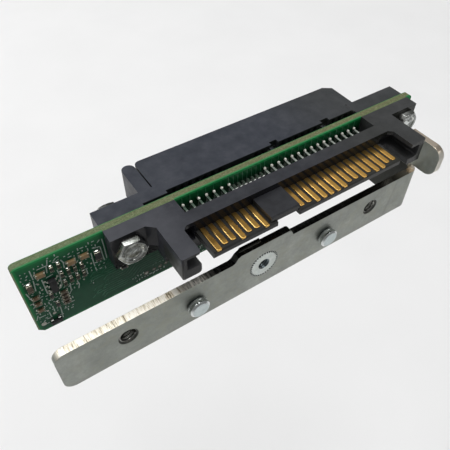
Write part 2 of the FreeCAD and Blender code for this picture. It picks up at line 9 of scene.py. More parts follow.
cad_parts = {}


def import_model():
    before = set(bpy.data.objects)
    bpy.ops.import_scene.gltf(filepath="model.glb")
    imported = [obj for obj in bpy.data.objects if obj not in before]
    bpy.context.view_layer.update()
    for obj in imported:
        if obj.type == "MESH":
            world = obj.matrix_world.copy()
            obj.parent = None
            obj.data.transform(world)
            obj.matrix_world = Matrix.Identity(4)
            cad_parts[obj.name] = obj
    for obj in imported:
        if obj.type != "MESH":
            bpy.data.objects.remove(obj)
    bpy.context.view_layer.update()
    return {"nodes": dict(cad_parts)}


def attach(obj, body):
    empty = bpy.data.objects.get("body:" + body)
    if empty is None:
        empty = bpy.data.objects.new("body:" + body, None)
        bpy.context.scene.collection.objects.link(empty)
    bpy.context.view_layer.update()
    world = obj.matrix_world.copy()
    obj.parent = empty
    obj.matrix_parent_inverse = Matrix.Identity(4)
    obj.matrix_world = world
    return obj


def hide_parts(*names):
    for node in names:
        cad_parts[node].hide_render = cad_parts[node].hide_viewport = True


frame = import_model()
NODE = frame["nodes"]
MM = 0.001
SC = bpy.context.scene
RND = random.Random(11)


# =====================================================================
# shader helpers
# =====================================================================
class Mat:
    """One procedural material.  Coordinates are object coordinates in mm."""

    def __init__(self, name):
        self.m = bpy.data.materials.new(name)
        self.m.use_nodes = True
        self.t = self.m.node_tree
        self.t.nodes.clear()
        self.out = self.t.nodes.new("ShaderNodeOutputMaterial")
        self.b = self.t.nodes.new("ShaderNodeBsdfPrincipled")
        self.t.links.new(self.b.outputs[0], self.out.inputs[0])
        tc = self.t.nodes.new("ShaderNodeTexCoord")
        mp = self.t.nodes.new("ShaderNodeMapping")
        mp.inputs["Scale"].default_value = (1000, 1000, 1000)
        self.t.links.new(tc.outputs["Object"], mp.inputs["Vector"])
        self.co = mp.outputs[0]
        self._sep = None

    def n(self, kind, **props):
        node = self.t.nodes.new(kind)
        for k, v in props.items():
            setattr(node, k, v)
        return node

    def put(self, value, socket):
        if isinstance(value, bpy.types.NodeSocket):
            self.t.links.new(value, socket)
        elif isinstance(value, (tuple, list)) and len(value) == 3 and len(socket.default_value) == 4:
            socket.default_value = (*value, 1.0)
        else:
            socket.default_value = value

    def set(self, **kw):
        for k, v in kw.items():
            self.put(v, self.b.inputs[k.replace("_", " ")])
        return self

    def axis(self, i):
        if self._sep is None:
            self._sep = self.n("ShaderNodeSeparateXYZ")
            self.put(self.co, self._sep.inputs[0])
        return self._sep.outputs[i]

    def normal(self, i):
        g = self.n("ShaderNodeNewGeometry")
        s = self.n("ShaderNodeSeparateXYZ")
        self.put(g.outputs["Normal"], s.inputs[0])
        return s.outputs[i]

    def stretch(self, x, y, z):
        mp = self.n("ShaderNodeMapping")
        mp.inputs["Scale"].default_value = (x, y, z)
        self.put(self.co, mp.inputs["Vector"])
        return mp.outputs[0]

    def noise(self, scale, detail=4.0, rough=0.55, co=None, distortion=0.0):
        n = self.n("ShaderNodeTexNoise")
        self.put(co or self.co, n.inputs["Vector"])
        n.inputs["Scale"].default_value = scale
        n.inputs["Detail"].default_value = detail
        n.inputs["Roughness"].default_value = rough
        n.inputs["Distortion"].default_value = distortion
        return n.outputs["Fac"]

    def voronoi(self, scale, co=None, feature="F1"):
        n = self.n("ShaderNodeTexVoronoi", feature=feature)
        self.put(co or self.co, n.inputs["Vector"])
        n.inputs["Scale"].default_value = scale
        return n.outputs["Distance"]

    def wave(self, scale, co=None, distortion=0.0, direction="X", detail=2.0):
        n = self.n("ShaderNodeTexWave", bands_direction=direction)
        self.put(co or self.co, n.inputs["Vector"])
        n.inputs["Scale"].default_value = scale
        n.inputs["Distortion"].default_value = distortion
        n.inputs["Detail"].default_value = detail
        return n.outputs["Fac"]

    def math(self, op, a, b=0.0, c=0.0, clamp=False):
        n = self.n("ShaderNodeMath", operation=op, use_clamp=clamp)
        self.put(a, n.inputs[0])
        self.put(b, n.inputs[1])
        if len(n.inputs) > 2:
            self.put(c, n.inputs[2])
        return n.outputs[0]

    def remap(self, v, a, b, c, d, smooth=False):
        n = self.n("ShaderNodeMapRange", interpolation_type="SMOOTHSTEP" if smooth else "LINEAR")
        self.put(v, n.inputs["Value"])
        for k, x in zip(("From Min", "From Max", "To Min", "To Max"), (a, b, c, d)):
            n.inputs[k].default_value = x
        return n.outputs["Result"]

    def ramp(self, v, stops):
        n = self.n("ShaderNodeValToRGB")
        e = n.color_ramp.elements
        while len(e) < len(stops):
            e.new(0.5)
        for i, (p, c) in enumerate(stops):
            e[i].position = p
            e[i].color = (*c, 1.0)
        self.put(v, n.inputs[0])
        return n.outputs[0]

    def mix(self, f, a, b):
        n = self.n("ShaderNodeMix", data_type="RGBA")
        self.put(f, n.inputs["Factor"])
        self.put(a, n.inputs[6])
        self.put(b, n.inputs[7])
        return n.outputs[2]

    def blend(self, f, a, b):
        n = self.n("ShaderNodeMix")
        self.put(f, n.inputs[0])
        self.put(a, n.inputs[2])
        self.put(b, n.inputs[3])
        return n.outputs[0]

    def bump(self, height, strength, dist_mm, under=None):
        n = self.n("ShaderNodeBump")
        n.inputs["Strength"].default_value = strength
        n.inputs["Distance"].default_value = dist_mm * MM
        self.put(height, n.inputs["Height"])
        if under is not None:
            self.put(under, n.inputs["Normal"])
        return n.outputs[0]


# ------------------------------------------------------------------ materials
def make_plastic():
    a = Mat("moulded_charcoal")
    wide = a.noise(0.16, 4, 0.6)
    mott = a.noise(0.55, 5, 0.6)
    fine = a.noise(14.0, 3, 0.6)
    speck = a.voronoi(9.0)
    # faces that meet the polished side of the mould are glossier
    gloss = a.math("MULTIPLY", a.remap(a.normal(1), -0.80, -0.97, 0.0, 1.0), a.remap(a.axis(1), 9.0, 9.6, 1.0, 0.0))
    blot = a.math("ADD", a.math("MULTIPLY", mott, 0.6), a.math("MULTIPLY", wide, 0.4))
    col = a.ramp(blot, [(0.37, (0.0225, 0.0240, 0.0308)), (0.50, (0.0350, 0.0370, 0.0455)), (0.63, (0.0520, 0.0540, 0.0630))])
    # handling marks: pale rubbed patches on the upper faces
    rub = a.math("MULTIPLY", a.remap(a.noise(0.42, 6, 0.7, distortion=1.2), 0.60, 0.74, 0.0, 0.55, True), a.remap(a.normal(2), 0.7, 0.95, 0.0, 1.0))
    col = a.mix(rub, col, (0.072, 0.073, 0.078))
    # the tongue and its pockets are painted a shade darker than the bar: painted shade under the bar and between the
    # fingers
    low = a.math("MULTIPLY", a.remap(a.axis(2), 11.60, 10.85, 0.0, 0.70), a.math("MULTIPLY", a.remap(a.axis(1), 3.15, 2.95, 0.0, 1.0), a.remap(a.axis(0), 23.9, 24.3, 1.0, 0.0)))
    col = a.mix(low, col, (0.019, 0.019, 0.0125))
    dust = a.math("MULTIPLY", a.remap(speck, 0.03, 0.09, 0.30, 0.0), a.remap(gloss, 0, 1, 1.0, 0.25))
    col = a.mix(dust, col, (0.085, 0.086, 0.090))
    # front-facing faces are painted almost black, a painted shade
    front = a.remap(a.normal(1), -0.55, -0.92, 0.0, 0.80)
    col = a.mix(front, col, (0.007, 0.007, 0.008))
    level = a.remap(a.normal(2), 0.7, 0.95, 0.0, 1.0)
    near = a.math("MULTIPLY", a.remap(a.axis(1), 7.0, -1.0, 0.0, 0.16), level)
    col = a.mix(near, col, (0.004, 0.004, 0.004))
    # the left ear's top is painted paler, a painted sheen from the lamp at the left; the bar's top in front of the slot
    # is painted darker
    plug = a.math("MULTIPLY", level, a.remap(a.axis(1), 8.1, 7.9, 0.0, 1.0))
    col = a.mix(a.math("MULTIPLY", plug, a.remap(a.axis(0), -9.5, -14.0, 0.0, 0.34, True)), col, (0.085, 0.088, 0.100))
    bar = a.math("MULTIPLY", a.remap(a.axis(0), -11.0, -8.0, 0.0, 1.0, True), a.remap(a.axis(0), 22.0, 27.0, 1.0, 0.0, True))
    col = a.mix(a.math("MULTIPLY", plug, a.math("MULTIPLY", bar, 0.22)), col, (0.012, 0.012, 0.012))
    # the receptacle's cover has a bluer cast
    col = a.mix(a.math("MULTIPLY", level, a.remap(a.axis(1), 9.0, 10.0, 0.0, 0.16)), col, (0.056, 0.072, 0.100))
    # toward the power end the moulding is a more neutral grey; the right pocket is painted lighter, painted light
    # standing in for the light reaching its floor
    col = a.mix(a.remap(a.axis(0), 8.0, 24.0, 0.0, 0.45, True), col, (0.034, 0.035, 0.026))
    inside = a.math("MULTIPLY", a.math("MULTIPLY", a.remap(a.axis(0), 23.35, 23.55, 0.0, 1.0), a.remap(a.axis(0), 27.75, 27.65, 0.0, 1.0)),
                    a.math("MULTIPLY", a.remap(a.axis(2), 11.74, 11.68, 0.0, 1.0), a.remap(a.axis(1), 4.45, 4.35, 0.0, 1.0)))
    inside = a.math("MULTIPLY", inside, a.remap(a.axis(1), 0.2, 3.4, 0.0, 0.60, True))
    col = a.mix(inside, col, (0.105, 0.105, 0.108))
    satin = a.math("ADD", a.remap(fine, 0.3, 0.75, 0.35, 0.45), a.remap(blot, 0.35, 0.65, 0.08, -0.08))
    rough = a.blend(gloss, satin, a.remap(fine, 0.3, 0.75, 0.13, 0.20))
    lift = a.math("MULTIPLY", fine, a.remap(gloss, 0, 1, 1.0, 0.12))
    a.set(Base_Color=col, Roughness=rough, Normal=a.bump(lift, 0.22, 0.02, a.bump(mott, 0.06, 0.05)))
    a.b.inputs["Specular IOR Level"].default_value = 0.24
    return a.m


def make_board():
    a = Mat("board_mask_and_laminate")
    ny = a.math("ABSOLUTE", a.normal(1))
    face = a.remap(ny, 0.6, 0.8, 0.0, 1.0)
    x, z = a.axis(0), a.axis(2)
    # the copper stops short of the outline, so the rim shows bright through the mask
    near_plug = a.remap(x, -24.0, -13.0, 0.0, 1.0, True)
    top = a.math("MAXIMUM", a.math("MULTIPLY", a.remap(z, 11.75, 12.25, 0.0, 1.0, True), a.remap(near_plug, 0, 1, 0.72, 1.0)),
                 a.remap(z, 10.4, 12.3, 0.0, 0.30, True))
    left = a.math("MULTIPLY", a.remap(x, -31.45, -32.00, 0.0, 0.80, True), a.remap(z, 3.0, 9.0, 0.55, 1.0, True))
    right = a.remap(x, 35.05, 35.30, 0.0, 0.9, True)
    low = a.remap(z, -0.90, -1.05, 0.0, 0.30, True)
    rim = a.math("MAXIMUM", a.math("MAXIMUM", top, left), a.math("MAXIMUM", right, low))
    cloud = a.noise(0.35, 3, 0.5)
    weave = a.math("MULTIPLY", a.wave(3.2, direction="X", distortion=0.6), a.wave(3.2, direction="Z", distortion=0.6))
    deep = a.ramp(cloud, [(0.3, (0.014, 0.078, 0.040)), (0.7, (0.020, 0.096, 0.050))])
    # the mask is painted darker toward the plug
    deep = a.mix(a.remap(x, -25.0, -14.0, 0.0, 0.55, True), deep, (0.004, 0.022, 0.010))
    # the mask behind the contact tails is painted almost black and made glossier: painted shade inside the slot behind
    # the bar
    painted_slot_shade = a.math("MULTIPLY", a.math("MULTIPLY", a.remap(x, -10.6, -9.8, 0.0, 1.0), a.remap(x, 24.0, 25.0, 1.0, 0.0)), a.remap(z, 5.5, 8.0, 0.0, 1.0))
    deep = a.mix(a.remap(painted_slot_shade, 0, 1, 0.0, 0.88), deep, (0.002, 0.028, 0.010))
    glow = a.ramp(cloud, [(0.3, (0.016, 0.260, 0.070)), (0.7, (0.026, 0.340, 0.095))])
    mask = a.mix(rim, deep, glow)
    mask = a.mix(a.remap(weave, 0.0, 1.0, 0.0, 0.08), mask, (0.05, 0.16, 0.09))
    # bare laminate shows where the mask stops short of the left end
    mask = a.mix(a.remap(x, -31.98, -32.10, 0.0, 0.8), mask, (0.30, 0.31, 0.20))
    # sawn laminate edge: resin with broken glass bundles
    fibre = a.noise(3.4, 4, 0.7, co=a.stretch(0.8, 1.6, 1.6))
    crumb = a.noise(6.0, 5, 0.8)
    f = a.math("ADD", a.math("MULTIPLY", fibre, 0.4), a.math("MULTIPLY", crumb, 0.6))
    green = a.remap(x, -30, -2, 1.0, 0.0, True)
    edge = a.ramp(f, [(0.38, (0.078, 0.087, 0.040)), (0.50, (0.134, 0.146, 0.074)), (0.62, (0.208, 0.222, 0.126))])
    edge2 = a.ramp(f, [(0.38, (0.073, 0.100, 0.046)), (0.50, (0.129, 0.164, 0.086)), (0.62, (0.206, 0.244, 0.140))])
    edge = a.mix(green, edge, edge2)
    # mask folded over the arrises keeps a thin green line on both sides of the edge
    y = a.axis(1)
    # on the front it ends where the plug's ears stand against the board
    ears = a.math("MAXIMUM", a.math("MULTIPLY", a.remap(x, -20.45, -20.35, 0.0, 1.0), a.remap(x, -10.05, -9.95, 1.0, 0.0)),
                  a.math("MULTIPLY", a.remap(x, 24.15, 24.25, 0.0, 1.0), a.remap(x, 34.40, 34.50, 1.0, 0.0)))
    arris = a.math("MAXIMUM", a.math("MULTIPLY", a.remap(y, 8.30, 8.20, 0.0, 0.95), a.remap(ears, 0, 1, 1.0, 0.12)), a.remap(y, 9.06, 9.15, 0.0, 0.8))
    edge = a.mix(arris, edge, (0.030, 0.200, 0.070))
    a.set(Base_Color=a.mix(face, edge, mask))
    rough = a.math("ADD", a.blend(face, 0.62, a.remap(painted_slot_shade, 0, 1, 0.12, 0.05)), a.remap(cloud, 0.3, 0.7, -0.02, 0.03))
    a.set(Roughness=rough)
    h = a.math("ADD", a.math("MULTIPLY", f, a.remap(face, 0, 1, 1.0, 0.0)), a.math("MULTIPLY", weave, 0.05))
    a.set(Normal=a.bump(h, 0.35, 0.04))
    a.b.inputs["Specular IOR Level"].default_value = 0.09
    return a.m


def make_trace(name, dark, light):
    a = Mat(name)
    v = a.noise(0.9, 3, 0.5)
    col = a.ramp(v, [(0.35, dark), (0.65, light)])
    # the traces are painted darker toward the plug, as the mask is
    span = a.math("MULTIPLY", a.remap(a.axis(0), -25.0, -14.0, 0.0, 0.55, True), a.remap(a.axis(0), -11.0, -10.2, 1.0, 0.0, True))
    a.set(Base_Color=a.mix(span, col, (0.006, 0.030, 0.014)),
          Roughness=a.remap(v, 0.3, 0.7, 0.12, 0.20), Normal=a.bump(v, 0.1, 0.01))
    a.b.inputs["Specular IOR Level"].default_value = 0.10
    return a.m


def make_ink():
    a = Mat("legend_ink")
    v = a.noise(7.0, 4, 0.65)
    w = a.noise(1.0, 2, 0.5)
    a.set(Base_Color=a.ramp(v, [(0.30, (0.230, 0.300, 0.265)), (0.55, (0.400, 0.470, 0.430)), (0.80, (0.560, 0.620, 0.580))]),
          Roughness=a.remap(w, 0.3, 0.7, 0.5, 0.7), Normal=a.bump(v, 0.2, 0.01))
    return a.m


def make_gold():
    a = Mat("contact_plating")
    y = a.axis(1)
    tin = a.remap(y, 4.9, 5.3, 0.0, 1.0)
    stain = a.noise(1.6, 4, 0.6)
    long = a.noise(3.0, 3, 0.6, co=a.stretch(6.0, 0.35, 6.0))
    gold = a.ramp(stain, [(0.25, (0.70, 0.400, 0.100)), (0.55, (0.78, 0.460, 0.122)), (0.85, (0.86, 0.530, 0.160))])
    gold = a.mix(a.remap(long, 0.45, 0.8, 0.0, 0.20), gold, (0.46, 0.26, 0.06))
    # the finger roots are painted brown toward the housing, a painted shade and reflection of the bar,
    # except along the left arris, which is painted brighter as a painted highlight
    arris = a.math("MULTIPLY", a.remap(a.normal(0), -0.20, -0.50, 0.0, 1.0), a.remap(a.axis(0), -8.0, 18.0, 0.95, 0.15, True))
    root = a.math("MULTIPLY", a.remap(y, 0.9, 2.7, 0.0, 0.78, True), a.remap(arris, 0, 1, 1.0, 0.0))
    gold = a.mix(root, gold, (0.115, 0.080, 0.030))
    gold = a.mix(a.math("MULTIPLY", arris, 0.5), gold, (0.86, 0.68, 0.30))
    # the signal fingers' tops are painted browner, most at the left: a painted shade where they miss the lamp's
    # reflection
    signal_painted_shade = a.math("MULTIPLY", a.remap(a.axis(0), -9.0, 1.0, 0.60, 0.08, True), a.math("MULTIPLY", a.remap(y, -0.7, 0.3, 0.0, 1.0, True), a.remap(a.normal(2), 0.80, 0.95, 0.0, 1.0)))
    gold = a.mix(signal_painted_shade, gold, (0.160, 0.090, 0.022))
    # the left flanks of the power fingers are painted darker brown toward the right, a painted shade dimming their
    # highlight
    side = a.math("MULTIPLY", a.remap(a.axis(0), 3.0, 20.0, 0.0, 0.60, True), a.remap(a.normal(0), -0.20, -0.50, 0.0, 1.0))
    gold = a.mix(side, gold, (0.22, 0.130, 0.035))
    # tin tails, near-white as a painted highlight at their ends; past y 6.5 they are painted dark green, a painted
    # reflection of the board
    grey = a.ramp(stain, [(0.3, (0.88, 0.90, 0.84)), (0.7, (0.97, 0.98, 0.93))])
    lead_painted_reflection = a.math("MULTIPLY", a.remap(y, 6.50, 6.90, 0.0, 1.0), a.remap(a.axis(0), -2.0, 10.0, 0.94, 0.60))
    grey = a.mix(lead_painted_reflection, grey, (0.050, 0.098, 0.066))
    # the tails below z 10.3 and their side flanks are painted near black, a painted shade
    foot = a.math("MULTIPLY", tin, a.remap(a.axis(2), 10.30, 10.15, 0.0, 0.92))
    flank = a.remap(a.math("ABSOLUTE", a.normal(0)), 0.5, 0.8, 0.0, 0.88)
    foot = a.math("MAXIMUM", foot, a.math("MULTIPLY", tin, flank))
    grey = a.mix(foot, grey, (0.035, 0.06, 0.04))
    a.set(Base_Color=a.mix(tin, gold, grey), Metallic=a.remap(tin, 0, 1, 1.0, 0.20),
          Roughness=a.math("ADD", a.remap(long, 0.3, 0.75, 0.14, 0.21), a.math("ADD", a.remap(tin, 0, 1, 0.0, -0.02), a.math("MULTIPLY", a.remap(y, 0.9, 2.6, 0.0, 0.22, True), a.remap(arris, 0, 1, 1.0, 0.0)))), Normal=a.bump(long, 0.05, 0.02))
    return a.m


def make_second():
    """Fine contacts: gold on the tongue's underside; tin in the slot, near-white at the ends as a painted highlight and
    dark green further back as a painted reflection of the board.
    """
    a = Mat("fine_contact_plating")
    y = a.axis(1)
    tin = a.remap(y, 4.9, 5.3, 0.0, 1.0)
    v = a.noise(1.6, 4, 0.6)
    gold = a.ramp(v, [(0.25, (0.54, 0.325, 0.082)), (0.85, (0.74, 0.490, 0.165))])
    # past y 7.02 the tin is painted dark green, a painted reflection of the board
    grey = a.mix(a.remap(y, 7.02, 7.14, 0.0, 0.95), a.ramp(v, [(0.3, (0.92, 0.93, 0.88)), (0.7, (0.99, 0.99, 0.95))]), (0.012, 0.034, 0.018))
    a.set(Base_Color=a.mix(tin, gold, grey), Metallic=a.remap(tin, 0, 1, 1.0, 0.0), Roughness=a.remap(v, 0.3, 0.75, 0.18, 0.30), Normal=a.bump(v, 0.06, 0.02))
    a.b.inputs["Specular IOR Level"].default_value = 0.22
    return a.m


def make_beam():
    """Formed contact strip: gold at the spring end, dull tin toward the board."""
    a = Mat("beam_plating")
    y = a.axis(1)
    tin = a.remap(y, 13.4, 13.9, 1.0, 0.0)
    stain = a.noise(1.6, 4, 0.6)
    gold = a.ramp(stain, [(0.25, (0.60, 0.38, 0.11)), (0.85, (0.80, 0.56, 0.21))])
    grey = a.ramp(stain, [(0.3, (0.10, 0.11, 0.11)), (0.7, (0.20, 0.21, 0.20))])
    a.set(Base_Color=a.mix(tin, gold, grey), Metallic=1.0,
          Roughness=a.remap(stain, 0.3, 0.75, 0.30, 0.45), Normal=a.bump(stain, 0.08, 0.02))
    return a.m


def make_solder(name, front, lit):
    a = Mat(name)
    v = a.noise(4.0, 3, 0.6)
    # front-facing faces take the darker front colour, a painted shade
    shade = a.remap(a.normal(1), -0.45, -0.92, 0.0, 0.80)
    col = a.ramp(v, [(0.3, tuple(0.86 * c for c in lit)), (0.7, lit)])
    a.set(Base_Color=a.mix(shade, col, front), Metallic=1.0,
          Roughness=a.remap(v, 0.3, 0.7, 0.14, 0.28), Normal=a.bump(v, 0.25, 0.05))
    return a.m


def make_bead(name, dark, light):
    """Small reflowed bead, nearly non-metallic and smooth."""
    a = Mat(name)
    v = a.noise(5.0, 3, 0.6)
    a.set(Base_Color=a.ramp(v, [(0.3, dark), (0.7, light)]), Metallic=a.remap(v, 0.3, 0.7, 0.0, 0.10),
          Roughness=a.remap(v, 0.3, 0.7, 0.10, 0.18), Normal=a.bump(v, 0.12, 0.03))
    return a.m


def make_terminal():
    a = Mat("tinned_terminal")
    v = a.noise(6.0, 3, 0.6)
    # front-facing faces of the terminals take a dark colour, a painted shade
    dull = a.remap(a.normal(1), -0.45, -0.92, 0.0, 1.0)
    col = a.ramp(v, [(0.3, (0.52, 0.49, 0.38)), (0.7, (0.72, 0.68, 0.54))])
    painted_front_shade = a.ramp(v, [(0.3, (0.075, 0.085, 0.065)), (0.7, (0.15, 0.15, 0.12))])
    a.set(Base_Color=a.mix(dull, col, painted_front_shade), Metallic=1.0,
          Roughness=a.remap(v, 0.3, 0.7, 0.30, 0.46), Normal=a.bump(v, 0.2, 0.03))
    return a.m


def make_ceramic(name, dark, light):
    a = Mat(name)
    v = a.noise(2.2, 4, 0.6)
    f = a.noise(18.0, 2, 0.5)
    a.set(Base_Color=a.ramp(v, [(0.3, dark), (0.7, light)]), Roughness=a.remap(f, 0.3, 0.7, 0.42, 0.6),
          Normal=a.bump(f, 0.15, 0.01))
    a.b.inputs["Specular IOR Level"].default_value = 0.30
    return a.m


def make_epoxy():
    a = Mat("chip_epoxy")
    v = a.noise(3.0, 3, 0.6)
    f = a.noise(22.0, 3, 0.6)
    a.set(Base_Color=a.ramp(v, [(0.3, (0.012, 0.012, 0.013)), (0.7, (0.022, 0.022, 0.024))]),
          Roughness=a.remap(f, 0.3, 0.7, 0.48, 0.68), Normal=a.bump(f, 0.25, 0.015))
    a.b.inputs["Specular IOR Level"].default_value = 0.30
    return a.m


def make_sheet():
    a = Mat("zinc_sheet")
    x = a.axis(0)
    nz = a.math("ABSOLUTE", a.normal(2))
    up = a.remap(nz, 0.55, 0.85, 0.0, 1.0)
    big = a.noise(0.32, 5, 0.62)
    mid = a.noise(1.7, 5, 0.65)
    fine = a.noise(9.0, 4, 0.65)
    spang = a.voronoi(1.15)
    f = a.math("ADD", a.math("MULTIPLY", big, 0.45), a.math("ADD", a.math("MULTIPLY", mid, 0.40), a.math("MULTIPLY", fine, 0.15)))
    col = a.ramp(f, [(0.34, (0.330, 0.345, 0.322)), (0.50, (0.530, 0.545, 0.515)), (0.64, (0.760, 0.770, 0.730))])
    col = a.mix(a.remap(spang, 0.0, 0.8, 0.14, 0.0), col, (0.72, 0.73, 0.695))
    mid_x = a.math("MULTIPLY", a.remap(x, -31.0, -27.0, 0.0, 1.0, True), a.remap(x, -7.0, -2.0, 1.0, 0.0, True))
    col = a.mix(a.remap(mid_x, 0, 1, 0.50, 0.62), col, (0.218, 0.238, 0.208))
    col = a.mix(a.remap(a.noise(0.45, 4, 0.6, distortion=1.0), 0.46, 0.64, 0.0, 0.30, True), col, (0.370, 0.372, 0.290))
    # sheared edge: torn, bright marks across the thickness at the free end, smooth further on; the free end is painted
    # bright as painted light, and the edge is painted darker toward the right, a painted shadow of the plug, lighter
    # again at the bend
    marks = a.noise(1.0, 5, 0.7, co=a.stretch(2.4, 0.35, 0.35))
    marks2 = a.noise(1.0, 3, 0.7, co=a.stretch(9.0, 0.6, 0.6))
    m = a.math("ADD", a.math("MULTIPLY", marks, 0.6), a.math("MULTIPLY", marks2, 0.4))
    torn = a.remap(a.math("ADD", x, a.math("MULTIPLY", a.math("SUBTRACT", marks2, 0.5), 6.0)), -14.6, -12.6, 1.0, 0.0, True)
    cut = a.ramp(m, [(0.385, (0.18, 0.140, 0.085)), (0.445, (0.72, 0.65, 0.51)), (0.52, (1.0, 0.96, 0.86))])
    fade = a.remap(x, -13.0, -6.5, 1.0, 0.0, True)
    sheared = a.ramp(m, [(0.40, (0.10, 0.095, 0.085)), (0.60, (0.42, 0.41, 0.38))])
    sheared = a.mix(a.math("MULTIPLY", fade, a.remap(m, 0.46, 0.58, 0.0, 1.0)), sheared, (0.80, 0.77, 0.70))
    sheared = a.mix(a.remap(x, 14.0, 20.0, 0.0, 0.88, True), sheared, (0.085, 0.078, 0.066))
    bend = a.remap(x, 26.5, 30.0, 0.0, 1.0, True)
    sheared = a.mix(bend, sheared, (0.62, 0.56, 0.46))
    col = a.mix(up, col, a.mix(torn, sheared, cut))
    # inner face of the wall below the tab is painted near black, a painted shade
    y, z = a.axis(1), a.axis(2)
    wall = a.math("MULTIPLY", a.remap(a.normal(0), -0.6, -0.85, 0.0, 1.0), a.math("MULTIPLY", a.remap(x, 29.5, 30.5, 0.0, 1.0), a.remap(y, 0.4, 1.3, 0.0, 1.0)))
    wall = a.math("MULTIPLY", wall, a.remap(z, 4.6, 3.6, 0.0, 1.0))
    col = a.mix(a.remap(wall, 0, 1, 0.0, 0.94), col, (0.022, 0.022, 0.020))
    # warm stain on the rim of the tab; the lip over the centre of the strip is painted dark, a painted shade
    rim = a.math("MULTIPLY", a.math("MULTIPLY", a.remap(x, 30.6, 31.0, 0.0, 1.0), a.remap(z, 3.6, 4.2, 0.0, 1.0)), a.remap(a.math("ABSOLUTE", a.normal(0)), 0.75, 0.45, 0.0, 0.8))
    col = a.mix(rim, col, (0.66, 0.57, 0.46))
    tab = a.math("MULTIPLY", a.remap(a.normal(1), -0.6, -0.9, 0.0, 0.5), a.math("MULTIPLY", a.remap(x, 30.4, 31.0, 0.0, 1.0), a.remap(z, 3.6, 4.6, 0.0, 1.0)))
    col = a.mix(tab, col, (0.92, 0.93, 0.89))
    lip = a.math("MULTIPLY", a.remap(x, 1.5, 0.5, 0.0, 1.0), a.remap(z, 4.77, 4.82, 0.0, 0.92))
    col = a.mix(lip, col, (0.012, 0.0115, 0.009))
    # countersunk mouths of the tapped holes are painted dark, a painted shade
    for hx in (-22.495, 21.955):
        d = a.math("SQRT", a.math("ADD", a.math("POWER", a.math("SUBTRACT", x, hx), 2.0), a.math("POWER", z, 2.0)))
        mouth = a.math("MULTIPLY", a.remap(d, 1.55, 1.46, 0.0, 0.88), a.remap(a.normal(1), -0.93, -0.80, 0.0, 1.0))
        col = a.mix(mouth, col, (0.05, 0.05, 0.045))
    # faint press line beside the bend
    press = a.math("SUBTRACT", x, a.math("MULTIPLY", z, 0.145))
    press = a.math("MULTIPLY", a.remap(a.math("ABSOLUTE", a.math("SUBTRACT", press, 26.95)), 0.0, 0.45, 0.30, 0.0, True), a.remap(a.normal(1), -0.6, -0.9, 0.0, 1.0))
    col = a.mix(press, col, (0.22, 0.23, 0.21))
    a.set(Base_Color=col)
    rough_f = a.remap(mid, 0.3, 0.72, 0.46, 0.62)
    rough_e = a.blend(torn, a.math("ADD", a.remap(m, 0.35, 0.65, 0.20, 0.26), a.remap(fade, 0, 1, 0.0, 0.34)), a.remap(m, 0.35, 0.65, 0.55, 0.34))
    a.set(Metallic=1.0, Roughness=a.blend(up, rough_f, rough_e))
    h = a.math("ADD", a.math("MULTIPLY", a.math("ADD", mid, a.math("MULTIPLY", fine, 0.6)), a.remap(up, 0, 1, 1.0, 0.0)),
               a.math("MULTIPLY", m, a.math("MULTIPLY", up, a.remap(torn, 0, 1, 0.15, 1.3))))
    a.set(Normal=a.bump(h, 0.28, 0.05))
    return a.m


def make_zinc(name, dark, light, r0, r1, grain, shade=None, dents=0.0):
    a = Mat(name)
    v = a.noise(1.4, 4, 0.6)
    g = a.noise(grain, 3, 0.6)
    col = a.ramp(v, [(0.3, dark), (0.7, light)])
    if shade:
        # front faces take the darker shade colour, a painted shade, darker still at the left head
        blotch = a.ramp(a.noise(0.62, 3, 0.55, distortion=2.0), [(0.36, tuple(0.45 * c for c in shade)), (0.50, shade), (0.60, tuple(min(0.95, 2.2 * c) for c in shade))])
        x = a.axis(0)
        blotch = a.mix(a.remap(x, -10.0, 20.0, 0.52, 0.0, True), blotch, (0.020, 0.024, 0.021))
        col = a.mix(a.remap(a.normal(1), -0.75, -0.97, 0.0, 1.0), col, blotch)
        col = a.mix(a.remap(a.normal(2), 0.55, 0.85, 0.0, 0.85), col, a.ramp(a.noise(1.3, 4, 0.6), [(0.38, (0.16, 0.17, 0.165)), (0.62, (0.50, 0.51, 0.49))]))
        # the right half of each hex head's top is painted darker, a painted shade
        dull = a.math("MAXIMUM", a.math("MULTIPLY", a.remap(x, -18.5, -17.5, 0.0, 1.0), a.remap(x, -10.0, -9.0, 1.0, 0.0)), a.remap(x, 31.6, 32.6, 0.0, 1.0))
        col = a.mix(a.math("MULTIPLY", a.remap(a.normal(2), 0.55, 0.85, 0.0, 0.80), dull), col, (0.085, 0.092, 0.080))
    n = a.bump(g, 0.10, 0.02)
    if dents:
        n = a.bump(a.noise(1.1, 2, 0.5, distortion=0.8), dents, 0.30, n)
    a.set(Base_Color=col, Metallic=1.0, Roughness=a.remap(g, 0.3, 0.72, r0, r1), Normal=n)
    return a.m


PLASTIC = make_plastic()
BOARD = make_board()
TRACE = make_trace("mask_over_copper", (0.030, 0.122, 0.068), (0.055, 0.178, 0.104))
TAIL_TRACE = make_trace("mask_over_tail_copper", (0.030, 0.150, 0.070), (0.060, 0.210, 0.110))
INK = make_ink()
GOLD = make_gold()
BEAM = make_beam()
SECOND = make_second()
SOLDER = make_solder("solder", (0.26, 0.26, 0.23), (0.86, 0.86, 0.80))
DULL = make_solder("dull_solder", (0.10, 0.10, 0.09), (0.20, 0.20, 0.19))
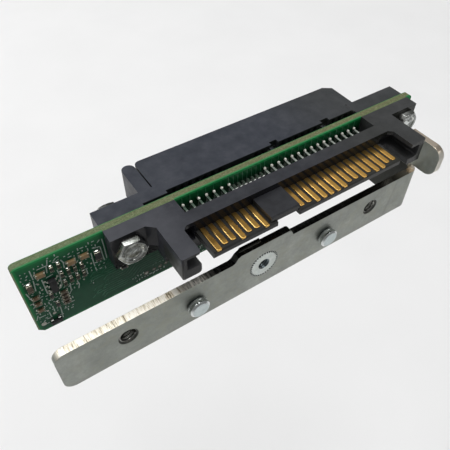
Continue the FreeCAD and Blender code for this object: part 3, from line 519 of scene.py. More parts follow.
# near-white, nearly non-metallic solder beads: a painted highlight standing in for the glint on shiny solder
BEAD = make_bead("solder_bead", (0.93, 0.92, 0.82), (1.0, 0.99, 0.90))
PAD = make_bead("test_pad", (0.30, 0.30, 0.25), (0.50, 0.49, 0.43))
LEAD = make_solder("lead_tin", (0.36, 0.36, 0.33), (0.80, 0.80, 0.74))
TERMINAL = make_terminal()
TAN = make_ceramic("ceramic_tan", (0.200, 0.130, 0.060), (0.300, 0.205, 0.105))
DIMTAN = make_ceramic("ceramic_dim_tan", (0.105, 0.072, 0.040), (0.165, 0.112, 0.062))
BROWN = make_ceramic("ceramic_brown", (0.060, 0.047, 0.031), (0.105, 0.080, 0.052))
OLIVE = make_ceramic("ceramic_olive", (0.015, 0.018, 0.010), (0.031, 0.031, 0.019))
BLACKGLAZE = make_ceramic("resistor_glaze", (0.017, 0.017, 0.018), (0.034, 0.033, 0.033))
EPOXY = make_epoxy()
SHEET = make_sheet()
BRIGHT = make_zinc("bright_zinc", (0.56, 0.58, 0.55), (0.72, 0.73, 0.69), 0.15, 0.27, 5.0, (0.36, 0.375, 0.36), 0.13)
TURNED = make_zinc("turned_pin", (0.56, 0.59, 0.58), (0.68, 0.71, 0.70), 0.05, 0.10, 7.0)
TIP = make_zinc("pin_tip", (0.48, 0.54, 0.54), (0.58, 0.64, 0.64), 0.30, 0.42, 9.0)
# the tapped-hole threads are given a dark colour, a painted shade inside the holes
THREAD = make_zinc("hole_thread", (0.20, 0.20, 0.185), (0.31, 0.31, 0.285), 0.10, 0.18, 6.0)
COLLAR = make_zinc("nut_collar", (0.56, 0.60, 0.57), (0.70, 0.74, 0.71), 0.38, 0.56, 6.0)
# the bores of the nut and the pin necks are given a dark colour, a painted shade
BORE = make_zinc("bore_thread", (0.09, 0.115, 0.12), (0.16, 0.19, 0.20), 0.14, 0.26, 6.0)
NOTCH = make_zinc("notch_shadow", (0.010, 0.011, 0.010), (0.020, 0.021, 0.020), 0.5, 0.7, 6.0)


# =====================================================================
# mesh helpers (millimetres in, metres out)
# =====================================================================
def obj(name, bm, mats, smooth_deg=35.0, weighted=True):
    for v in bm.verts:
        v.co *= MM
    bmesh.ops.recalc_face_normals(bm, faces=bm.faces)
    me = bpy.data.meshes.new(name)
    bm.to_mesh(me)
    bm.free()
    for m in mats:
        me.materials.append(m)
    me.shade_smooth()
    try:
        me.set_sharp_from_angle(angle=math.radians(smooth_deg))
    except AttributeError:
        pass
    o = bpy.data.objects.new(name, me)
    SC.collection.objects.link(o)
    if weighted:
        n = o.modifiers.new("normals", "WEIGHTED_NORMAL")
        n.keep_sharp = True
        n.weight = 100
    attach(o, "root")
    return o


def rbox(bm, x0, x1, y0, y1, z0, z1, r=0.03, mi=0, seg=2):
    g = bmesh.ops.create_cube(bm, size=1.0)
    vs = g["verts"]
    for v in vs:
        v.co = Vector(((x0 + x1) / 2 + v.co.x * (x1 - x0), (y0 + y1) / 2 + v.co.y * (y1 - y0), (z0 + z1) / 2 + v.co.z * (z1 - z0)))
    fs = {f for v in vs for f in v.link_faces}
    if r > 0:
        es = {e for v in vs for e in v.link_edges}
        out = bmesh.ops.bevel(bm, geom=list(es), offset=r, segments=seg, profile=0.5, affect="EDGES", clamp_overlap=True)
        fs = {f for f in fs if f.is_valid} | set(out["faces"])
    for f in fs:
        f.material_index = mi


def rings(bm, loops, mi=0, close_start=True, close_end=True):
    """Skin between loops of points; each loop has the same count (or one point)."""
    vl = [[bm.verts.new(p) for p in lp] for lp in loops]
    n = max(len(v) for v in vl)
    for a, b in zip(vl, vl[1:]):
        for i in range(n):
            j = (i + 1) % n
            if len(a) == 1:
                f = bm.faces.new((a[0], b[i], b[j]))
            elif len(b) == 1:
                f = bm.faces.new((a[i], a[j], b[0]))
            else:
                f = bm.faces.new((a[i], a[j], b[j], b[i]))
            f.material_index = mi
    if close_start and len(vl[0]) > 2:
        bm.faces.new(list(reversed(vl[0]))).material_index = mi
    if close_end and len(vl[-1]) > 2:
        bm.faces.new(vl[-1]).material_index = mi


def circle(x, z, r, y, n=72, ph=0.0):
    if callable(r):
        return [(x + r(2 * math.pi * i / n) * math.cos(2 * math.pi * i / n + ph), y if not callable(y) else y(2 * math.pi * i / n),
                 z + r(2 * math.pi * i / n) * math.sin(2 * math.pi * i / n + ph)) for i in range(n)]
    return [(x + r * math.cos(2 * math.pi * i / n + ph), y if not callable(y) else y(2 * math.pi * i / n),
             z + r * math.sin(2 * math.pi * i / n + ph)) for i in range(n)]


def lathe(bm, x, z, prof, n=96, mi=0, closed=False):
    loops = [circle(x, z, r, y, n) if r > 1e-6 else [(x, y, z)] for r, y in prof]
    if closed:
        vl = [[bm.verts.new(p) for p in lp] for lp in loops]
        for a, b in zip(vl, vl[1:] + vl[:1]):
            for i in range(n):
                j = (i + 1) % n
                bm.faces.new((a[i], a[j], b[j], b[i])).material_index = mi
    else:
        rings(bm, loops, mi, True, True)


def hex_r(af):
    def f(t):
        u = (t + math.pi / 6) % (math.pi / 3) - math.pi / 6
        return (af / 2) / math.cos(u)
    # flats at 30 deg + k*60 gives a flat on top (z up)
    return lambda t: f(t - math.pi / 6 * 1.0)


def dress(node, mats, width, seg=2, angle=32.0, weld=2e-6, split=None):
    """Finish on a CAD node: merge seams, dissolve flat triangulation, round the edges.
    With split, faces that meet at more than that angle keep their own normals."""
    o = NODE[node]
    o.data.materials.clear()
    for m in mats:
        o.data.materials.append(m)
    w = o.modifiers.new("weld", "WELD")
    w.merge_threshold = weld
    d = o.modifiers.new("flat", "DECIMATE")
    d.decimate_type = "DISSOLVE"
    d.angle_limit = math.radians(0.6)
    if width > 0:
        b = o.modifiers.new("edge", "BEVEL")
        b.width = width * MM
        b.segments = seg
        b.limit_method = "ANGLE"
        b.angle_limit = math.radians(angle)
        b.harden_normals = False
        b.use_clamp_overlap = True
    if split:
        e = o.modifiers.new("split", "EDGE_SPLIT")
        e.use_edge_angle = True
        e.use_edge_sharp = False
        e.split_angle = math.radians(split)
    n = o.modifiers.new("normals", "WEIGHTED_NORMAL")
    n.keep_sharp = False
    n.weight = 100
    return o


# =====================================================================
# CAD nodes that keep their shape
# =====================================================================
dress("circuit_board", [BOARD], 0.04)
dress("plug_housing", [PLASTIC], 0.07)
dress("receptacle_housing", [PLASTIC], 0.07)
for n in ("plug_signal_contacts", "plug_power_contacts"):
    dress(n, [GOLD], 0.04, 3, split=8.0)
dress("plug_secondary_contacts", [SECOND], 0.03, 1)
for n in ("receptacle_signal_contacts", "receptacle_power_contacts", "receptacle_secondary_contacts"):
    dress(n, [BEAM], 0.03, 1)
dress("mounting_bracket", [SHEET], 0.045)
dress("bracket_screws", [BRIGHT], 0.05)
dress("multiplexer_chip", [EPOXY], 0.03)

# =====================================================================
# clamp hardware
# =====================================================================
SCREW_X = (-17.93, 32.08)
SCREW_Z = 9.9


def hexhead(bm, x, z, af, y_seat, y_top, dish=True, bore=None, n=144):
    """Hex with 30-degree corner chamfer; y_top is the exposed end."""
    s = 1.0 if y_top > y_seat else -1.0
    rh = hex_r(af)
    rc = af / 2 * 0.955
    H = abs(y_top - y_seat)
    top = lambda t: y_seat + s * (H - max(0.0, rh(t) - rc) * 0.58)
    low = lambda t: y_seat + s * (max(0.0, rh(t) - rc) * 0.12)
    loops = []
    if bore:
        loops.append(circle(x, z, bore, y_seat, n))
    loops.append(circle(x, z, rc, y_seat, n))
    loops.append(circle(x, z, rh, low, n))
    k = 0.06
    loops.append(circle(x, z, rh, lambda t: top(t) - s * k, n))
    loops.append(circle(x, z, lambda t: rh(t) - 0.05, lambda t: top(t) + s * 0.005, n))
    loops.append(circle(x, z, rc - 0.02, y_top - s * 0.01, n))
    loops.append(circle(x, z, rc - 0.12, y_top, n))
    if bore:
        loops.append(circle(x, z, bore + 0.12, y_top, n))
        loops.append(circle(x, z, bore, y_top - s * 0.12, n))
        vl = [[bm.verts.new(p) for p in lp] for lp in loops]
        for a, b in zip(vl, vl[1:] + vl[:1]):
            for i in range(n):
                j = (i + 1) % n
                bm.faces.new((a[i], a[j], b[j], b[i]))
    else:
        if dish:
            for r, d in ((1.36, 0.0), (1.29, 0.05), (1.22, 0.15), (1.10, 0.20), (0.80, 0.19), (0.45, 0.15)):
                loops.append(circle(x, z, r, y_top - s * d, n))
            loops.append([(x, y_top - s * 0.14, z)])
        rings(bm, loops)


bm = bmesh.new()
for sx, end in zip(SCREW_X, (13.35, 11.80)):
    hexhead(bm, sx, SCREW_Z, 3.8, 5.8, 4.55)
    prof = [(0.98, 5.8)]
    y = 5.8
    while y < end - 0.45:
        y += 0.2
        prof.append((0.98 if int(round(y / 0.2)) % 2 else 0.84, y))
    prof += [(0.86, end - 0.2), (0.72, end), (0.0, end)]
    lathe(bm, sx, SCREW_Z, prof, 64)
clamp_screws = obj("hex_clamp_screws", bm, [BRIGHT], 40)
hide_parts("clamp_screws")

bm = bmesh.new()
for sx, seat in zip(SCREW_X, (11.85, 10.60)):
    hexhead(bm, sx, SCREW_Z, 3.8, seat, seat + 1.1, bore=1.0)
clamp_nuts = obj("hex_clamp_nuts", bm, [BRIGHT], 40)
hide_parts("clamp_nuts")

# =====================================================================
# bracket hardware
# =====================================================================
PINS = ((-11.95, -0.8), (12.15, -0.8))
bm = bmesh.new()
for px, pz in PINS:
    # flat tip, chamfer, polished barrel, neck painted dark as a painted shade in the groove, shank
    loops = [(0.0, -1.345, 0), (0.62, -1.348, 0), (1.24, -1.35, 0), (1.30, -1.345, 1), (1.34, -1.325, 1), (1.56, -1.13, 1), (1.59, -1.10, 1), (1.60, -1.06, 1),
             (1.60, -0.66, 1), (1.575, -0.63, 1), (1.575, -0.58, 1), (1.60, -0.55, 1), (1.60, -0.34, 1), (1.56, -0.28, 2), (1.33, -0.25, 2), (1.28, -0.20, 2),
             (1.28, -0.03, 2), (1.32, 0.0, 2), (1.25, 0.02, 2), (1.25, 1.12, 2), (1.18, 1.2, 2), (0.0, 1.2, 2)]
    n = 128
    vl = [[bm.verts.new(q) for q in (circle(px, pz, r, y, n) if r > 1e-6 else [(px, y, pz)])] for r, y, _ in loops]
    for k, (a, b) in enumerate(zip(vl, vl[1:])):
        for i in range(n):
            j = (i + 1) % n
            q = (a[0], b[i], b[j]) if len(a) == 1 else ((a[i], a[j], b[0]) if len(b) == 1 else (a[i], a[j], b[j], b[i]))
            bm.faces.new(q).material_index = loops[k][2]
pins = obj("turned_locating_pins", bm, [TIP, TURNED, BORE], 30)
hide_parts("locating_pins")

TEETH = 34


def knurl(root, tip):
    """Radius of a round outline with narrow notches."""
    def r(t):
        u = abs(((t * TEETH / (2 * math.pi)) % 1.0) * 2 - 1)
        k = min(1.0, max(0.0, (u - 0.48) / 0.10))
        return root + (tip - root) * k
    return r


def thread_wall(x, z, r_minor, r_major, pitch, y0, y1, n=48, per=8):
    """Loops of a helical thread surface from y0 to y1."""
    m = max(2, int(abs(y1 - y0) / pitch * per))
    out = []
    for k in range(m + 1):
        y = y0 + (y1 - y0) * k / m

        def r(t, y=y):
            u = (y / pitch - t / (2 * math.pi)) % 1.0
            tri = 1 - abs(2 * u - 1)
            return r_minor + (r_major - r_minor) * tri
        out.append(circle(x, z, r, y, n))
    return out


bm = bmesh.new()
n = TEETH * 8
outer = [circle(0, 0, 1.02, 0.0, n), circle(0, 0, 2.16, 0.0, n), circle(0, 0, knurl(2.20, 2.545), 0.002, n),
         circle(0, 0, knurl(2.205, 2.545), 0.03, n), circle(0, 0, knurl(2.205, 2.545), 0.55, n), circle(0, 0, 2.545, 0.60, n),
         circle(0, 0, 2.545, 1.15, n), circle(0, 0, 2.05, 1.22, n), circle(0, 0, 2.05, 2.48, n), circle(0, 0, 1.93, 2.6, n), circle(0, 0, 1.06, 2.6, n)]
inner = list(reversed(thread_wall(0, 0, 0.80, 1.00, 0.40, 0.10, 2.50, n)))
loops = outer + inner
vl = [[bm.verts.new(p) for p in lp] for lp in loops]
for k, (a, b) in enumerate(zip(vl, vl[1:] + vl[:1])):
    for i in range(n):
        j = (i + 1) % n
        f = bm.faces.new((a[i], a[j], b[j], b[i]))
        f.material_index = 1 if k >= len(outer) - 1 else (2 if 2 <= k <= 4 else 0)
nut = obj("knurled_clinch_nut", bm, [COLLAR, BORE, NOTCH], 32)
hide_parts("centre_clinch_nut")

# thread crests inside the two tapped holes of the strip
bm = bmesh.new()
for hx in (-0.27 - 22.225, -0.27 + 22.225):
    n = 72
    inn = thread_wall(hx, 0, 1.10, 1.245, 0.5, 0.25, 2.14, n, 10)
    out = [circle(hx, 0, 1.249, 2.14, n), circle(hx, 0, 1.249, 0.25, n)]
    loops = inn + out
    vl = [[bm.verts.new(p) for p in lp] for lp in loops]
    for a, b in zip(vl, vl[1:] + vl[:1]):
        for i in range(n):
            j = (i + 1) % n
            bm.faces.new((a[i], a[j], b[j], b[i]))
threads = obj("tapped_hole_threads", bm, [THREAD], 30)

# =====================================================================
# parts soldered on the board's front face
# =====================================================================
YB = 8.0      # board front face
YR = 9.2      # board rear face


def chip_part(bm, x, z, lx, lz, h, term):
    """Ceramic body (0), wrapped end terminals (1), solder fillets (2)."""
    along = lx >= lz
    e = 0.02
    rbox(bm, x - lx / 2 + e, x + lx / 2 - e, YB - h, YB - 0.02, z - lz / 2 + e, z + lz / 2 - e, 0.04, 0)
    for s in (-1, 1):
        if along:
            a, b = sorted((x + s * lx / 2, x + s * (lx / 2 - term)))
            rbox(bm, a, b, YB - h - 0.03, YB - 0.005, z - lz / 2 - 0.01, z + lz / 2 + 0.01, 0.07, 1, 3)
            fillet(bm, (x + s * lx / 2, z), (s, 0), lz * 0.94, 0.15, h * 0.55)
        else:
            a, b = sorted((z + s * lz / 2, z + s * (lz / 2 - term)))
            rbox(bm, x - lx / 2 - 0.01, x + lx / 2 + 0.01, YB - h - 0.03, YB - 0.005, a, b, 0.07, 1, 3)
            fillet(bm, (x, z + s * lz / 2), (0, s), lx * 0.94, 0.15, h * 0.55)


def fillet(bm, at, d, width, reach, rise, mi=2, y=None, side=-1):
    """Concave solder fillet climbing a terminal: at = foot of the wall, d = outward direction."""
    y = YB if y is None else y
    t = (-d[1], d[0])
    m, k = 7, 6
    grid = []
    for i in range(m + 1):
        u = i / m * 2 - 1
        w = width / 2 * u
        fall = (1 - abs(u) ** 3)
        row = []
        for j in range(k + 1):
            s = j / k
            r = reach * (0.55 + 0.45 * fall) * s - 0.03
            hgt = rise * fall ** 0.5 * (1 - s) ** 2.1
            row.append(bm.verts.new((at[0] + d[0] * r + t[0] * w * (1 + 0.10 * s), y + side * (hgt + 0.004), at[1] + d[1] * r + t[1] * w * (1 + 0.10 * s))))
        grid.append(row)
    fs = []
    for i in range(m):
        for j in range(k):
            fs.append(bm.faces.new((grid[i][j], grid[i + 1][j], grid[i + 1][j + 1], grid[i][j + 1])))
    # close underneath so that each fillet is a small solid
    base = [[bm.verts.new((v.co.x, y + side * 0.001, v.co.z)) for v in row] for row in grid]
    for i in range(m):
        for j in range(k):
            fs.append(bm.faces.new((base[i][j], base[i][j + 1], base[i + 1][j + 1], base[i + 1][j])))
    rim = [(i, 0) for i in range(m + 1)] + [(m, j) for j in range(1, k + 1)] + [(i, k) for i in range(m - 1, -1, -1)] + [(0, j) for j in range(k - 1, 0, -1)]
    for p, q in zip(rim, rim[1:] + rim[:1]):
        fs.append(bm.faces.new((grid[p[0]][p[1]], base[p[0]][p[1]], base[q[0]][q[1]], grid[q[0]][q[1]])))
    for f in fs:
        f.material_index = mi


def smd(name, node, body, parts):
    bm = bmesh.new()
    for p in parts:
        chip_part(bm, *p)
    o = obj(name, bm, [body, TERMINAL, SOLDER], 40)
    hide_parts(node)
    return o


BULK = [(x, z, 1.20, 0.74, 0.45, 0.22) for x, z in ((-29.26, 9.88), (-25.27, 9.72), (-23.50, 9.78))]
TALL = [(-31.00, 8.33, 0.72, 1.45, 0.45, 0.36)]
SENSE = [(-21.82, 8.70, 0.85, 1.70, 0.45, 0.38)]
COUPLE = [(x, z, 0.46, 0.95, 0.42, 0.25) for x, z in (
    (-27.78, 10.10), (-26.83, 10.12), (-26.82, 8.27), (-25.93, 8.36), (-25.08, 8.28), (-24.14, 8.24),
    (-26.79, 6.43), (-25.92, 6.65), (-25.05, 6.55), (-24.15, 6.54))]
FILTER = [(-27.38, z, 0.95, 0.46, 0.42, 0.22) for z in (4.86, 4.12, 3.38, 2.64)]
EDGE = [(-30.84, z, 0.95, 0.50, 0.42, 0.22) for z in (6.08, 4.85, 3.45)]
RES = [(x, z, 0.50, 1.00, 0.32, 0.22) for x, z in ((-28.95, 5.18), (-28.60, 3.00))] + \
      [(-18.70, 4.05, 1.00, 0.50, 0.32, 0.22)]
smd("tan_chip_capacitors", "bulk_capacitors", TAN, BULK)
smd("brown_chip_capacitor", "tall_capacitor", BROWN, TALL)
smd("black_sense_resistor", "sense_resistor", BLACKGLAZE, SENSE)
smd("small_chip_capacitors", "coupling_capacitors", OLIVE, COUPLE)
smd("stacked_chip_capacitors", "filter_capacitors", BROWN, FILTER)
smd("edge_chip_capacitors", "edge_capacitors", DIMTAN, EDGE)
smd("small_chip_resistors", "chip_resistors", BLACKGLAZE, RES)


def gull(bm, x, z, d, w, y_body, length=0.42):
    """Gull-wing lead leaving a body side at (x, z) in direction d, landing on the board."""
    t = (-d[1], d[0])
    path = [(-0.08, y_body), (0.10, y_body), (0.17, y_body + 0.03), (0.22, YB - 0.14), (0.28, YB - 0.075), (length + 0.08, YB - 0.07)]
    th = 0.07
    rowsv = []
    for s, y in path:
        rowsv.append([(x + d[0] * s + t[0] * q, y + o, z + d[1] * s + t[1] * q) for q, o in ((-w / 2, -th / 2), (w / 2, -th / 2), (w / 2, th / 2 + 0.03), (-w / 2, th / 2 + 0.03))])
    rings(bm, rowsv, 1)


def moulded(bm, x, z, bx, bz, h):
    """Body with drafted sides."""
    y_mid = YB - h * 0.52
    def rect(kx, kz, y):
        return [(x - bx / 2 * kx, y, z - bz / 2 * kz), (x + bx / 2 * kx, y, z - bz / 2 * kz), (x + bx / 2 * kx, y, z + bz / 2 * kz), (x - bx / 2 * kx, y, z + bz / 2 * kz)]
    kx, kz = 1 - 0.10 / bx, 1 - 0.10 / bz
    rings(bm, [rect(kx, kz, YB - 0.1), rect(1, 1, y_mid), rect(kx, kz, YB - h)], 0)


bm = bmesh.new()
moulded(bm, -28.25, 7.22, 0.95, 2.45, 0.68)
for s in (-1, 1):
    for o in (-0.97, 0.02, 0.98):
        gull(bm, -28.25 + s * 0.475, 7.22 + o, (s, 0), 0.34, YB - 0.36)
        fillet(bm, (-28.25 + s * 0.86, 7.22 + o), (s, 0), 0.36, 0.16, 0.10)
o = obj("six_lead_chip", bm, [EPOXY, LEAD, SOLDER], 30)
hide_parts("logic_chip")

bm = bmesh.new()
moulded(bm, -29.60, -0.18, 1.60, 0.62, 0.52)
for off, s in ((-0.52, 1), (0.52, 1), (0.0, -1)):
    gull(bm, -29.60 + off, -0.18 + s * 0.31, (0, s), 0.32, YB - 0.30)
    fillet(bm, (-29.60 + off, -0.18 + s * 0.70), (0, s), 0.34, 0.16, 0.10)
o = obj("three_lead_transistor", bm, [EPOXY, DULL, DULL], 30)
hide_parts("switch_transistor")

# =====================================================================
# solder on the connector tails
# =====================================================================
SIG = [-8.82 + 1.27 * i for i in range(7)]
POW = [5.15 + 1.27 * i for i in range(15)]
SEC = [1.975 - 2.4 + 0.8 * i for i in range(7)]


def blob(bm, x, z, rx, rz, h, y=YB, side=-1, n=20, m=7, mi=0):
    """Smooth solder mound on the board around a foot."""
    loops = []
    for k in range(m + 1):
        s = k / m
        r = 1 - s
        hh = h * (1 - (1 - s) ** 2) ** 0.8 * (0.35 + 0.65 * s)
        if k < m:
            loops.append([(x + rx * r * math.cos(2 * math.pi * i / n), y + side * (hh + 0.002), z + rz * r * math.sin(2 * math.pi * i / n)) for i in range(n)])
        else:
            loops.append([(x, y + side * (h + 0.002), z)])
    rings(bm, loops, mi, True, False)


def ball(bm, x, z, r, y=YB, side=-1, n=20, m=8, mi=0):
    """Bead sitting on the board."""
    loops = []
    for k in range(m):
        t = -0.55 + (math.pi / 2 + 0.55) * k / m
        loops.append([(x + r * math.cos(t) * math.cos(2 * math.pi * i / n), y + side * (r * 0.52 + r * math.sin(t) + 0.001), z + r * math.cos(t) * math.sin(2 * math.pi * i / n)) for i in range(n)])
    loops.append([(x, y + side * (r * 1.52 + 0.001), z)])
    rings(bm, loops, mi, True, False)


bm = bmesh.new()
for x in SIG + POW:
    ball(bm, x, 10.74, 0.23)                              # bead in the corner above the lead
for x in SEC:
    blob(bm, x, 9.20, 0.16, 0.24, 0.08, mi=1)
solder_front = obj("front_solder_joints", bm, [BEAD, DULL], 60)
bm = bmesh.new()
for x in SIG + POW:
    blob(bm, x, 10.30, 0.40, 0.52, 0.34, YR, 1)
for x in SEC:
    blob(bm, x, 8.35, 0.28, 0.42, 0.34, YR, 1)
solder_back = obj("rear_solder_joints", bm, [DULL], 60)


# =====================================================================
# copper traces under the mask, pads, vias and legend outlines
# =====================================================================
def ribbon(bm, pts, w, h, y=YB, side=-1, mi=0):
    """Flat raised strip along a polyline of (x, z)."""
    n = len(pts)
    L, R = [], []
    for i, (x, z) in enumerate(pts):
        a = Vector(pts[max(i - 1, 0)])
        b = Vector(pts[min(i + 1, n - 1)])
        if 0 < i < n - 1:
            d1 = (Vector(pts[i]) - a).normalized()
            d2 = (b - Vector(pts[i])).normalized()
            d = (d1 + d2).normalized()
            k = 1 / max(0.4, d.dot(d1))
        else:
            d = (b - a).normalized()
            k = 1.0
        nx, nz = -d.y * w / 2 * k, d.x * w / 2 * k
        L.append((x + nx, z + nz))
        R.append((x - nx, z - nz))
    loops = []
    for (lx, lz), (rx, rz) in zip(L, R):
        loops.append([(lx, y + side * 0.0005, lz), (lx, y + side * h, lz), (rx, y + side * h, rz), (rx, y + side * 0.0005, rz)])
    rings(bm, loops, mi)


bm = bmesh.new()
for k in range(16):
    z0 = 7.0 - 0.46 * k
    xa = -23.6 + RND.uniform(0.0, 3.2)
    xb = -20.9 + 0.24 * k + RND.uniform(-0.1, 0.1)
    dz = 1.30
    xe = -9.2 + 0.25 * (k % 5) if k > 3 else -13.0 - 0.9 * (3 - k)
    ribbon(bm, [(xa - 0.5, z0 - 0.5), (xa, z0), (xb, z0), (xb + dz, z0 + dz), (xe, z0 + dz)], 0.17, 0.016)
for i, x in enumerate(SIG + POW):
    ribbon(bm, [(x, 9.3), (x, 8.2), (x - 0.4, 7.8), (x - 0.4, 2.2 + 0.2 * (i % 4))], 0.22, 0.018)
for i, x in enumerate(SIG + POW):
    ribbon(bm, [(x, 9.2), (x, 7.6), (x - 0.3, 7.3), (x - 0.3, 1.5 + 0.25 * (i % 5))], 0.22, 0.018, YR, 1)
for k in range(9):
    ribbon(bm, [(-22.4, 8.6 - 0.75 * k), (-20.8, 8.6 - 0.75 * k), (-18.6, 6.4 - 0.55 * k), (-12.0 + 0.6 * k, 6.4 - 0.55 * k)], 0.16, 0.018, YR, 1)
for x in SIG + POW:
    ribbon(bm, [(x - 0.05, 11.0), (x - 0.05, 12.25)], 0.09, 0.016, mi=1)
for x in SEC:
    ribbon(bm, [(x, 9.4), (x, 12.25)], 0.07, 0.016, mi=1)
traces = obj("mask_covered_traces", bm, [TRACE, TAIL_TRACE], 30)

bm = bmesh.new()


def ring(bm, x, z, r0, r1, h, y=YB, side=-1, n=24, mi=0):
    loops = [circle(x, z, r1, y + side * 0.0005, n), circle(x, z, r1, y + side * h, n), circle(x, z, r0, y + side * h, n), circle(x, z, r0, y + side * 0.0005, n)]
    vl = [[bm.verts.new(p) for p in lp] for lp in loops]
    for a, b in zip(vl, vl[1:] + vl[:1]):
        for i in range(n):
            j = (i + 1) % n
            bm.faces.new((a[i], a[j], b[j], b[i])).material_index = mi


def disc(bm, x, z, r, h, y=YB, side=-1, n=24, mi=0):
    rings(bm, [circle(x, z, r, y + side * 0.0005, n), circle(x, z, r, y + side * h * 0.6, n), circle(x, z, r * 0.8, y + side * h, n), [(x, y + side * h, z)]], mi, True, False)


for x, z, r in ((-31.25, 0.12, 0.36), (-29.47, 1.35, 0.24)):
    disc(bm, x, z, r, 0.05)
for x, z, r in ((-15.63, 0.22, 0.24), (-14.38, 0.28, 0.15), (-13.37, 0.30, 0.14), (-12.34, 0.42, 0.13)):
    blob(bm, x, z, r, r, 0.10)
    ring(bm, x, z, r + 0.06, r + 0.17, 0.010, mi=1)
for x, z in ((-29.9, 8.2), (-29.7, 6.9), (-22.9, 7.6), (-25.4, 5.0), (-24.4, 5.2), (-30.1, 2.4)):
    disc(bm, x, z, 0.14, 0.03)
pads = obj("test_pads", bm, [PAD, BROWN], 40)

bm = bmesh.new()
IW, IH = 0.14, 0.012


def outline(x0, x1, z0, z1, gaps=""):
    """Legend bracket round a part; sides named in gaps stay open."""
    if "T" not in gaps:
        ribbon(bm, [(x0, z1), (x1, z1)], IW, IH)
    if "B" not in gaps:
        ribbon(bm, [(x0, z0), (x1, z0)], IW, IH)
    if "L" not in gaps:
        ribbon(bm, [(x0, z0), (x0, z1)], IW, IH)
    if "R" not in gaps:
        ribbon(bm, [(x1, z0), (x1, z1)], IW, IH)


LINES = [[(-29.30, 8.70), (-29.30, 7.25), (-29.30, 5.65)],
         [(-27.15, 9.25), (-27.10, 8.15), (-27.25, 6.10), (-27.60, 5.60)],
         [(-29.40, 10.80), (-28.20, 10.80), (-28.40, 9.50)],
         [(-30.20, 11.20), (-30.20, 9.40)], [(-31.55, 9.05), (-30.65, 9.20)], [(-31.65, 7.50), (-31.45, 6.30)],
         [(-22.55, 9.50), (-22.55, 7.40), (-22.45, 5.50)], [(-21.20, 9.85), (-21.15, 8.35), (-21.10, 7.10)],
         [(-20.75, 11.15), (-20.70, 9.70), (-20.70, 7.20)], [(-22.55, 7.40), (-22.00, 7.25)], [(-22.10, 10.15), (-21.20, 9.95)],
         [(-26.35, 10.70), (-26.15, 10.05), (-26.25, 9.00)], [(-27.85, 11.75), (-28.10, 10.70)],
         [(-27.40, 10.90), (-27.00, 10.75), (-26.55, 11.00)], [(-28.75, 8.70), (-27.80, 8.85)],
         [(-28.15, 5.85), (-27.60, 5.90)], [(-29.75, 10.65), (-29.90, 9.35)], [(-30.25, 9.20), (-30.45, 7.20)],
         [(-28.50, 3.65), (-28.50, 1.50), (-28.65, -0.45)], [(-29.35, 2.90), (-29.35, 1.65)], [(-30.05, 2.05), (-30.00, 0.75)],
         [(-31.05, -0.10), (-30.50, -0.10)], [(-31.50, 2.35), (-31.90, 1.45)], [(-31.50, 1.85), (-31.10, 1.75)],
         [(-30.65, 0.85), (-30.15, 0.75)], [(-26.25, 5.75), (-26.40, 4.25)], [(-25.30, 5.60), (-25.15, 4.70), (-25.40, 3.95)],
         [(-26.25, 4.40), (-26.70, 3.80)], [(-27.80, 1.60), (-28.05, 1.10)],
         [(-23.70, 7.15), (-23.70, 5.85)], [(-24.55, 5.80), (-24.10, 5.85)], [(-25.10, 7.75), (-25.15, 6.90)]]
TICKS = [(-25.80, 11.00), (-25.20, 11.10), (-24.65, 11.15), (-24.65, 10.35), (-24.00, 11.20), (-23.50, 11.15), (-22.90, 11.05), (-22.80, 10.40),
         (-21.95, 11.40), (-21.75, 10.50), (-22.10, 10.25), (-27.75, 11.95), (-27.55, 11.30), (-26.85, 11.95), (-26.60, 11.45), (-26.65, 10.90),
         (-29.05, 11.30), (-29.65, 11.20), (-30.05, 8.40), (-30.10, 6.60), (-30.15, 5.65), (-30.20, 5.10), (-31.50, 6.30), (-31.55, 5.10),
         (-31.50, 4.25), (-31.50, 2.90), (-29.50, 5.40), (-29.65, 4.80), (-29.35, 4.25), (-28.95, 4.25), (-28.95, 3.65), (-28.20, 3.75),
         (-28.00, 3.00), (-27.85, 2.15), (-27.50, 1.25), (-27.90, 1.20), (-28.65, 0.35), (-30.10, 4.00), (-30.00, 3.45), (-29.75, 2.75),
         (-29.45, 2.25), (-30.35, 2.55), (-30.30, 1.75), (-30.60, 1.15), (-30.85, 1.75), (-31.45, 1.55), (-31.50, 0.85), (-31.00, 0.65),
         (-26.45, 7.30), (-25.45, 7.45), (-24.55, 7.35), (-23.75, 7.00), (-23.75, 7.65), (-21.95, 6.60), (-21.85, 5.85), (-21.25, 6.55),
         (-21.20, 5.60), (-22.40, 5.90), (-25.95, 5.30), (-25.90, 4.50), (-26.45, 5.25), (-26.70, 3.75), (-26.55, 2.80), (-26.70, 1.95),
         (-25.50, 9.10), (-24.55, 9.05), (-22.65, 8.55), (-23.40, 4.15), (-23.35, 3.65)]
TICKS += [(-17.82, 0.36), (-17.40, 0.30), (-16.99, 0.48), (-16.50, 0.42), (-16.10, 0.62), (-17.29, -0.53), (-16.85, -0.45), (-16.43, -0.30),
          (-15.95, -0.35), (-15.50, -0.42), (-14.95, -0.35), (-14.45, -0.40), (-13.90, -0.32), (-13.30, -0.40), (-12.75, -0.30),
          (-14.92, 1.39), (-14.42, 1.36), (-13.92, 1.40), (-13.30, 1.34), (-12.76, 1.31), (-12.07, 1.54),
          (-7.19, 2.30), (-6.71, 1.06), (-6.39, -0.11), (-5.87, -0.94), (-6.20, 0.25), (-6.95, 1.70)]
BOXES = [q[:4] for group in (BULK, TALL, SENSE, COUPLE, FILTER, EDGE, RES) for q in group] + [(-28.25, 7.22, 2.2, 2.7), (-29.60, -0.18, 1.9, 1.9)]
DISCS = [(-31.25, 0.12), (-29.47, 1.35), (-29.9, 8.2), (-29.7, 6.9), (-22.9, 7.6), (-25.4, 5.0), (-24.4, 5.2), (-30.1, 2.4)]


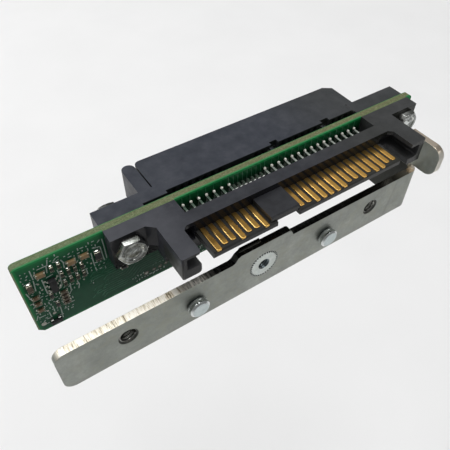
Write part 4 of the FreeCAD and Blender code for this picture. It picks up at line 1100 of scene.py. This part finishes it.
def off_line(x, z):
    """Distance from a point to the nearest outline stroke."""
    best = 9.0
    for pts in LINES:
        for (ax, az), (bx, bz) in zip(pts, pts[1:]):
            L = (bx - ax) ** 2 + (bz - az) ** 2
            t = min(1.0, max(0.0, ((x - ax) * (bx - ax) + (z - az) * (bz - az)) / L))
            best = min(best, math.hypot(x - ax - t * (bx - ax), z - az - t * (bz - az)))
    return best


def free(x, z):
    return all(abs(x - bx) > lx / 2 + 0.36 or abs(z - bz) > lz / 2 + 0.36 for bx, bz, lx, lz in BOXES) and \
        all(math.hypot(x - tx, z - tz) > 0.50 for tx, tz in TICKS + DISCS) and off_line(x, z) > 0.36


for count, x0, x1, z0, z1 in ((46, -31.6, -26.6, 0.7, 6.2), (34, -31.6, -21.2, 6.2, 11.5)):
    placed = 0
    for _ in range(4000):
        x, z = RND.uniform(x0, x1), RND.uniform(z0, z1)
        if placed < count and free(x, z):
            TICKS.append((x, z))
            placed += 1
for pts in LINES:
    ribbon(bm, pts, IW, IH)
for x, z in TICKS:
    # plain position marks: single short bars and dots
    t = RND.choice((0.0, 0.0, 90.0, 90.0, 45.0))
    ln = RND.choice((0.07, 0.12, 0.18, 0.24))
    dx, dz = ln * math.cos(math.radians(t)), ln * math.sin(math.radians(t))
    ribbon(bm, [(x - dx, z - dz), (x + dx, z + dz)], 0.14, IH)
legend = obj("legend_outlines", bm, [INK], 30)

# =====================================================================
# floor, light, camera
# =====================================================================
bpy.ops.mesh.primitive_plane_add(size=6.0, location=(0, 0, -0.16))
floor = bpy.context.object
floor.name = "pale_floor"
a = Mat("pale_floor")
v = a.noise(0.02, 2, 0.5)
a.set(Base_Color=a.ramp(v, [(0.3, (0.80, 0.80, 0.80)), (0.7, (0.82, 0.82, 0.82))]), Roughness=0.9)
a.b.inputs["Specular IOR Level"].default_value = 0.1
floor.data.materials.append(a.m)

w = bpy.data.worlds.new("studio")
SC.world = w
w.use_nodes = True
w.node_tree.nodes["Background"].inputs[0].default_value = (1.0, 1.0, 1.0, 1)
w.node_tree.nodes["Background"].inputs[1].default_value = 0.27


def softbox(name, loc, target, sx, sy, power, spread=180.0):
    d = bpy.data.lights.new(name, "AREA")
    d.shape = "RECTANGLE"
    d.size, d.size_y = sx, sy
    d.energy = power
    d.spread = math.radians(spread)
    o = bpy.data.objects.new(name, d)
    SC.collection.objects.link(o)
    o.location = loc
    o.rotation_euler = (Vector(target) - Vector(loc)).to_track_quat("-Z", "Y").to_euler()
    return o


softbox("key_back_left", (-0.260, 0.510, 0.560), (0.0, 0.0, 0.0), 0.90, 0.90, 2.5)
softbox("sky_right", (0.612, 0.378, 0.540), (0.0, 0.0, 0.0), 0.48, 0.52, 0.16)
softbox("edge_left", (-0.420, 0.385, 0.406), (0.0, 0.0, 0.0), 0.14, 0.14, 0.30)
softbox("floor_wash", (0.46, 0.320, 0.20), (0.46, 0.320, -1.0), 1.70, 1.05, 3.08, 50.0)
softbox("fill_front_right", (0.34, -0.46, 0.35), (0.0, 0.0, 0.0), 0.36, 0.11, 0.25)

SC.view_settings.view_transform = "Standard"
SC.view_settings.look = "None"

AZ, EL, ROLL, DIST = math.radians(-33.892359), math.radians(47.616788), math.radians(0.538144), 66.832692
TARGET = Vector((2.895833 - 9.0, -6.457411 + 8.0, -1.471003 + 12.4))
back = Vector((math.sin(AZ) * math.cos(EL), -math.cos(AZ) * math.cos(EL), math.sin(EL)))
right = Vector((math.cos(AZ), math.sin(AZ), 0.0))
up = back.cross(right)
rx = right * math.cos(ROLL) + up * math.sin(ROLL)
ux = -right * math.sin(ROLL) + up * math.cos(ROLL)
cd = bpy.data.cameras.new("camera")
cd.sensor_width = 36.0
cd.sensor_fit = "HORIZONTAL"
cd.lens = 506.948673 / 450.0 * 36.0
cd.clip_start = 0.002
cam = bpy.data.objects.new("camera", cd)
SC.collection.objects.link(cam)
pos = (TARGET + back * DIST) * MM
cam.matrix_world = Matrix(((rx.x, ux.x, back.x, pos.x), (rx.y, ux.y, back.y, pos.y), (rx.z, ux.z, back.z, pos.z), (0, 0, 0, 1)))
SC.camera = cam
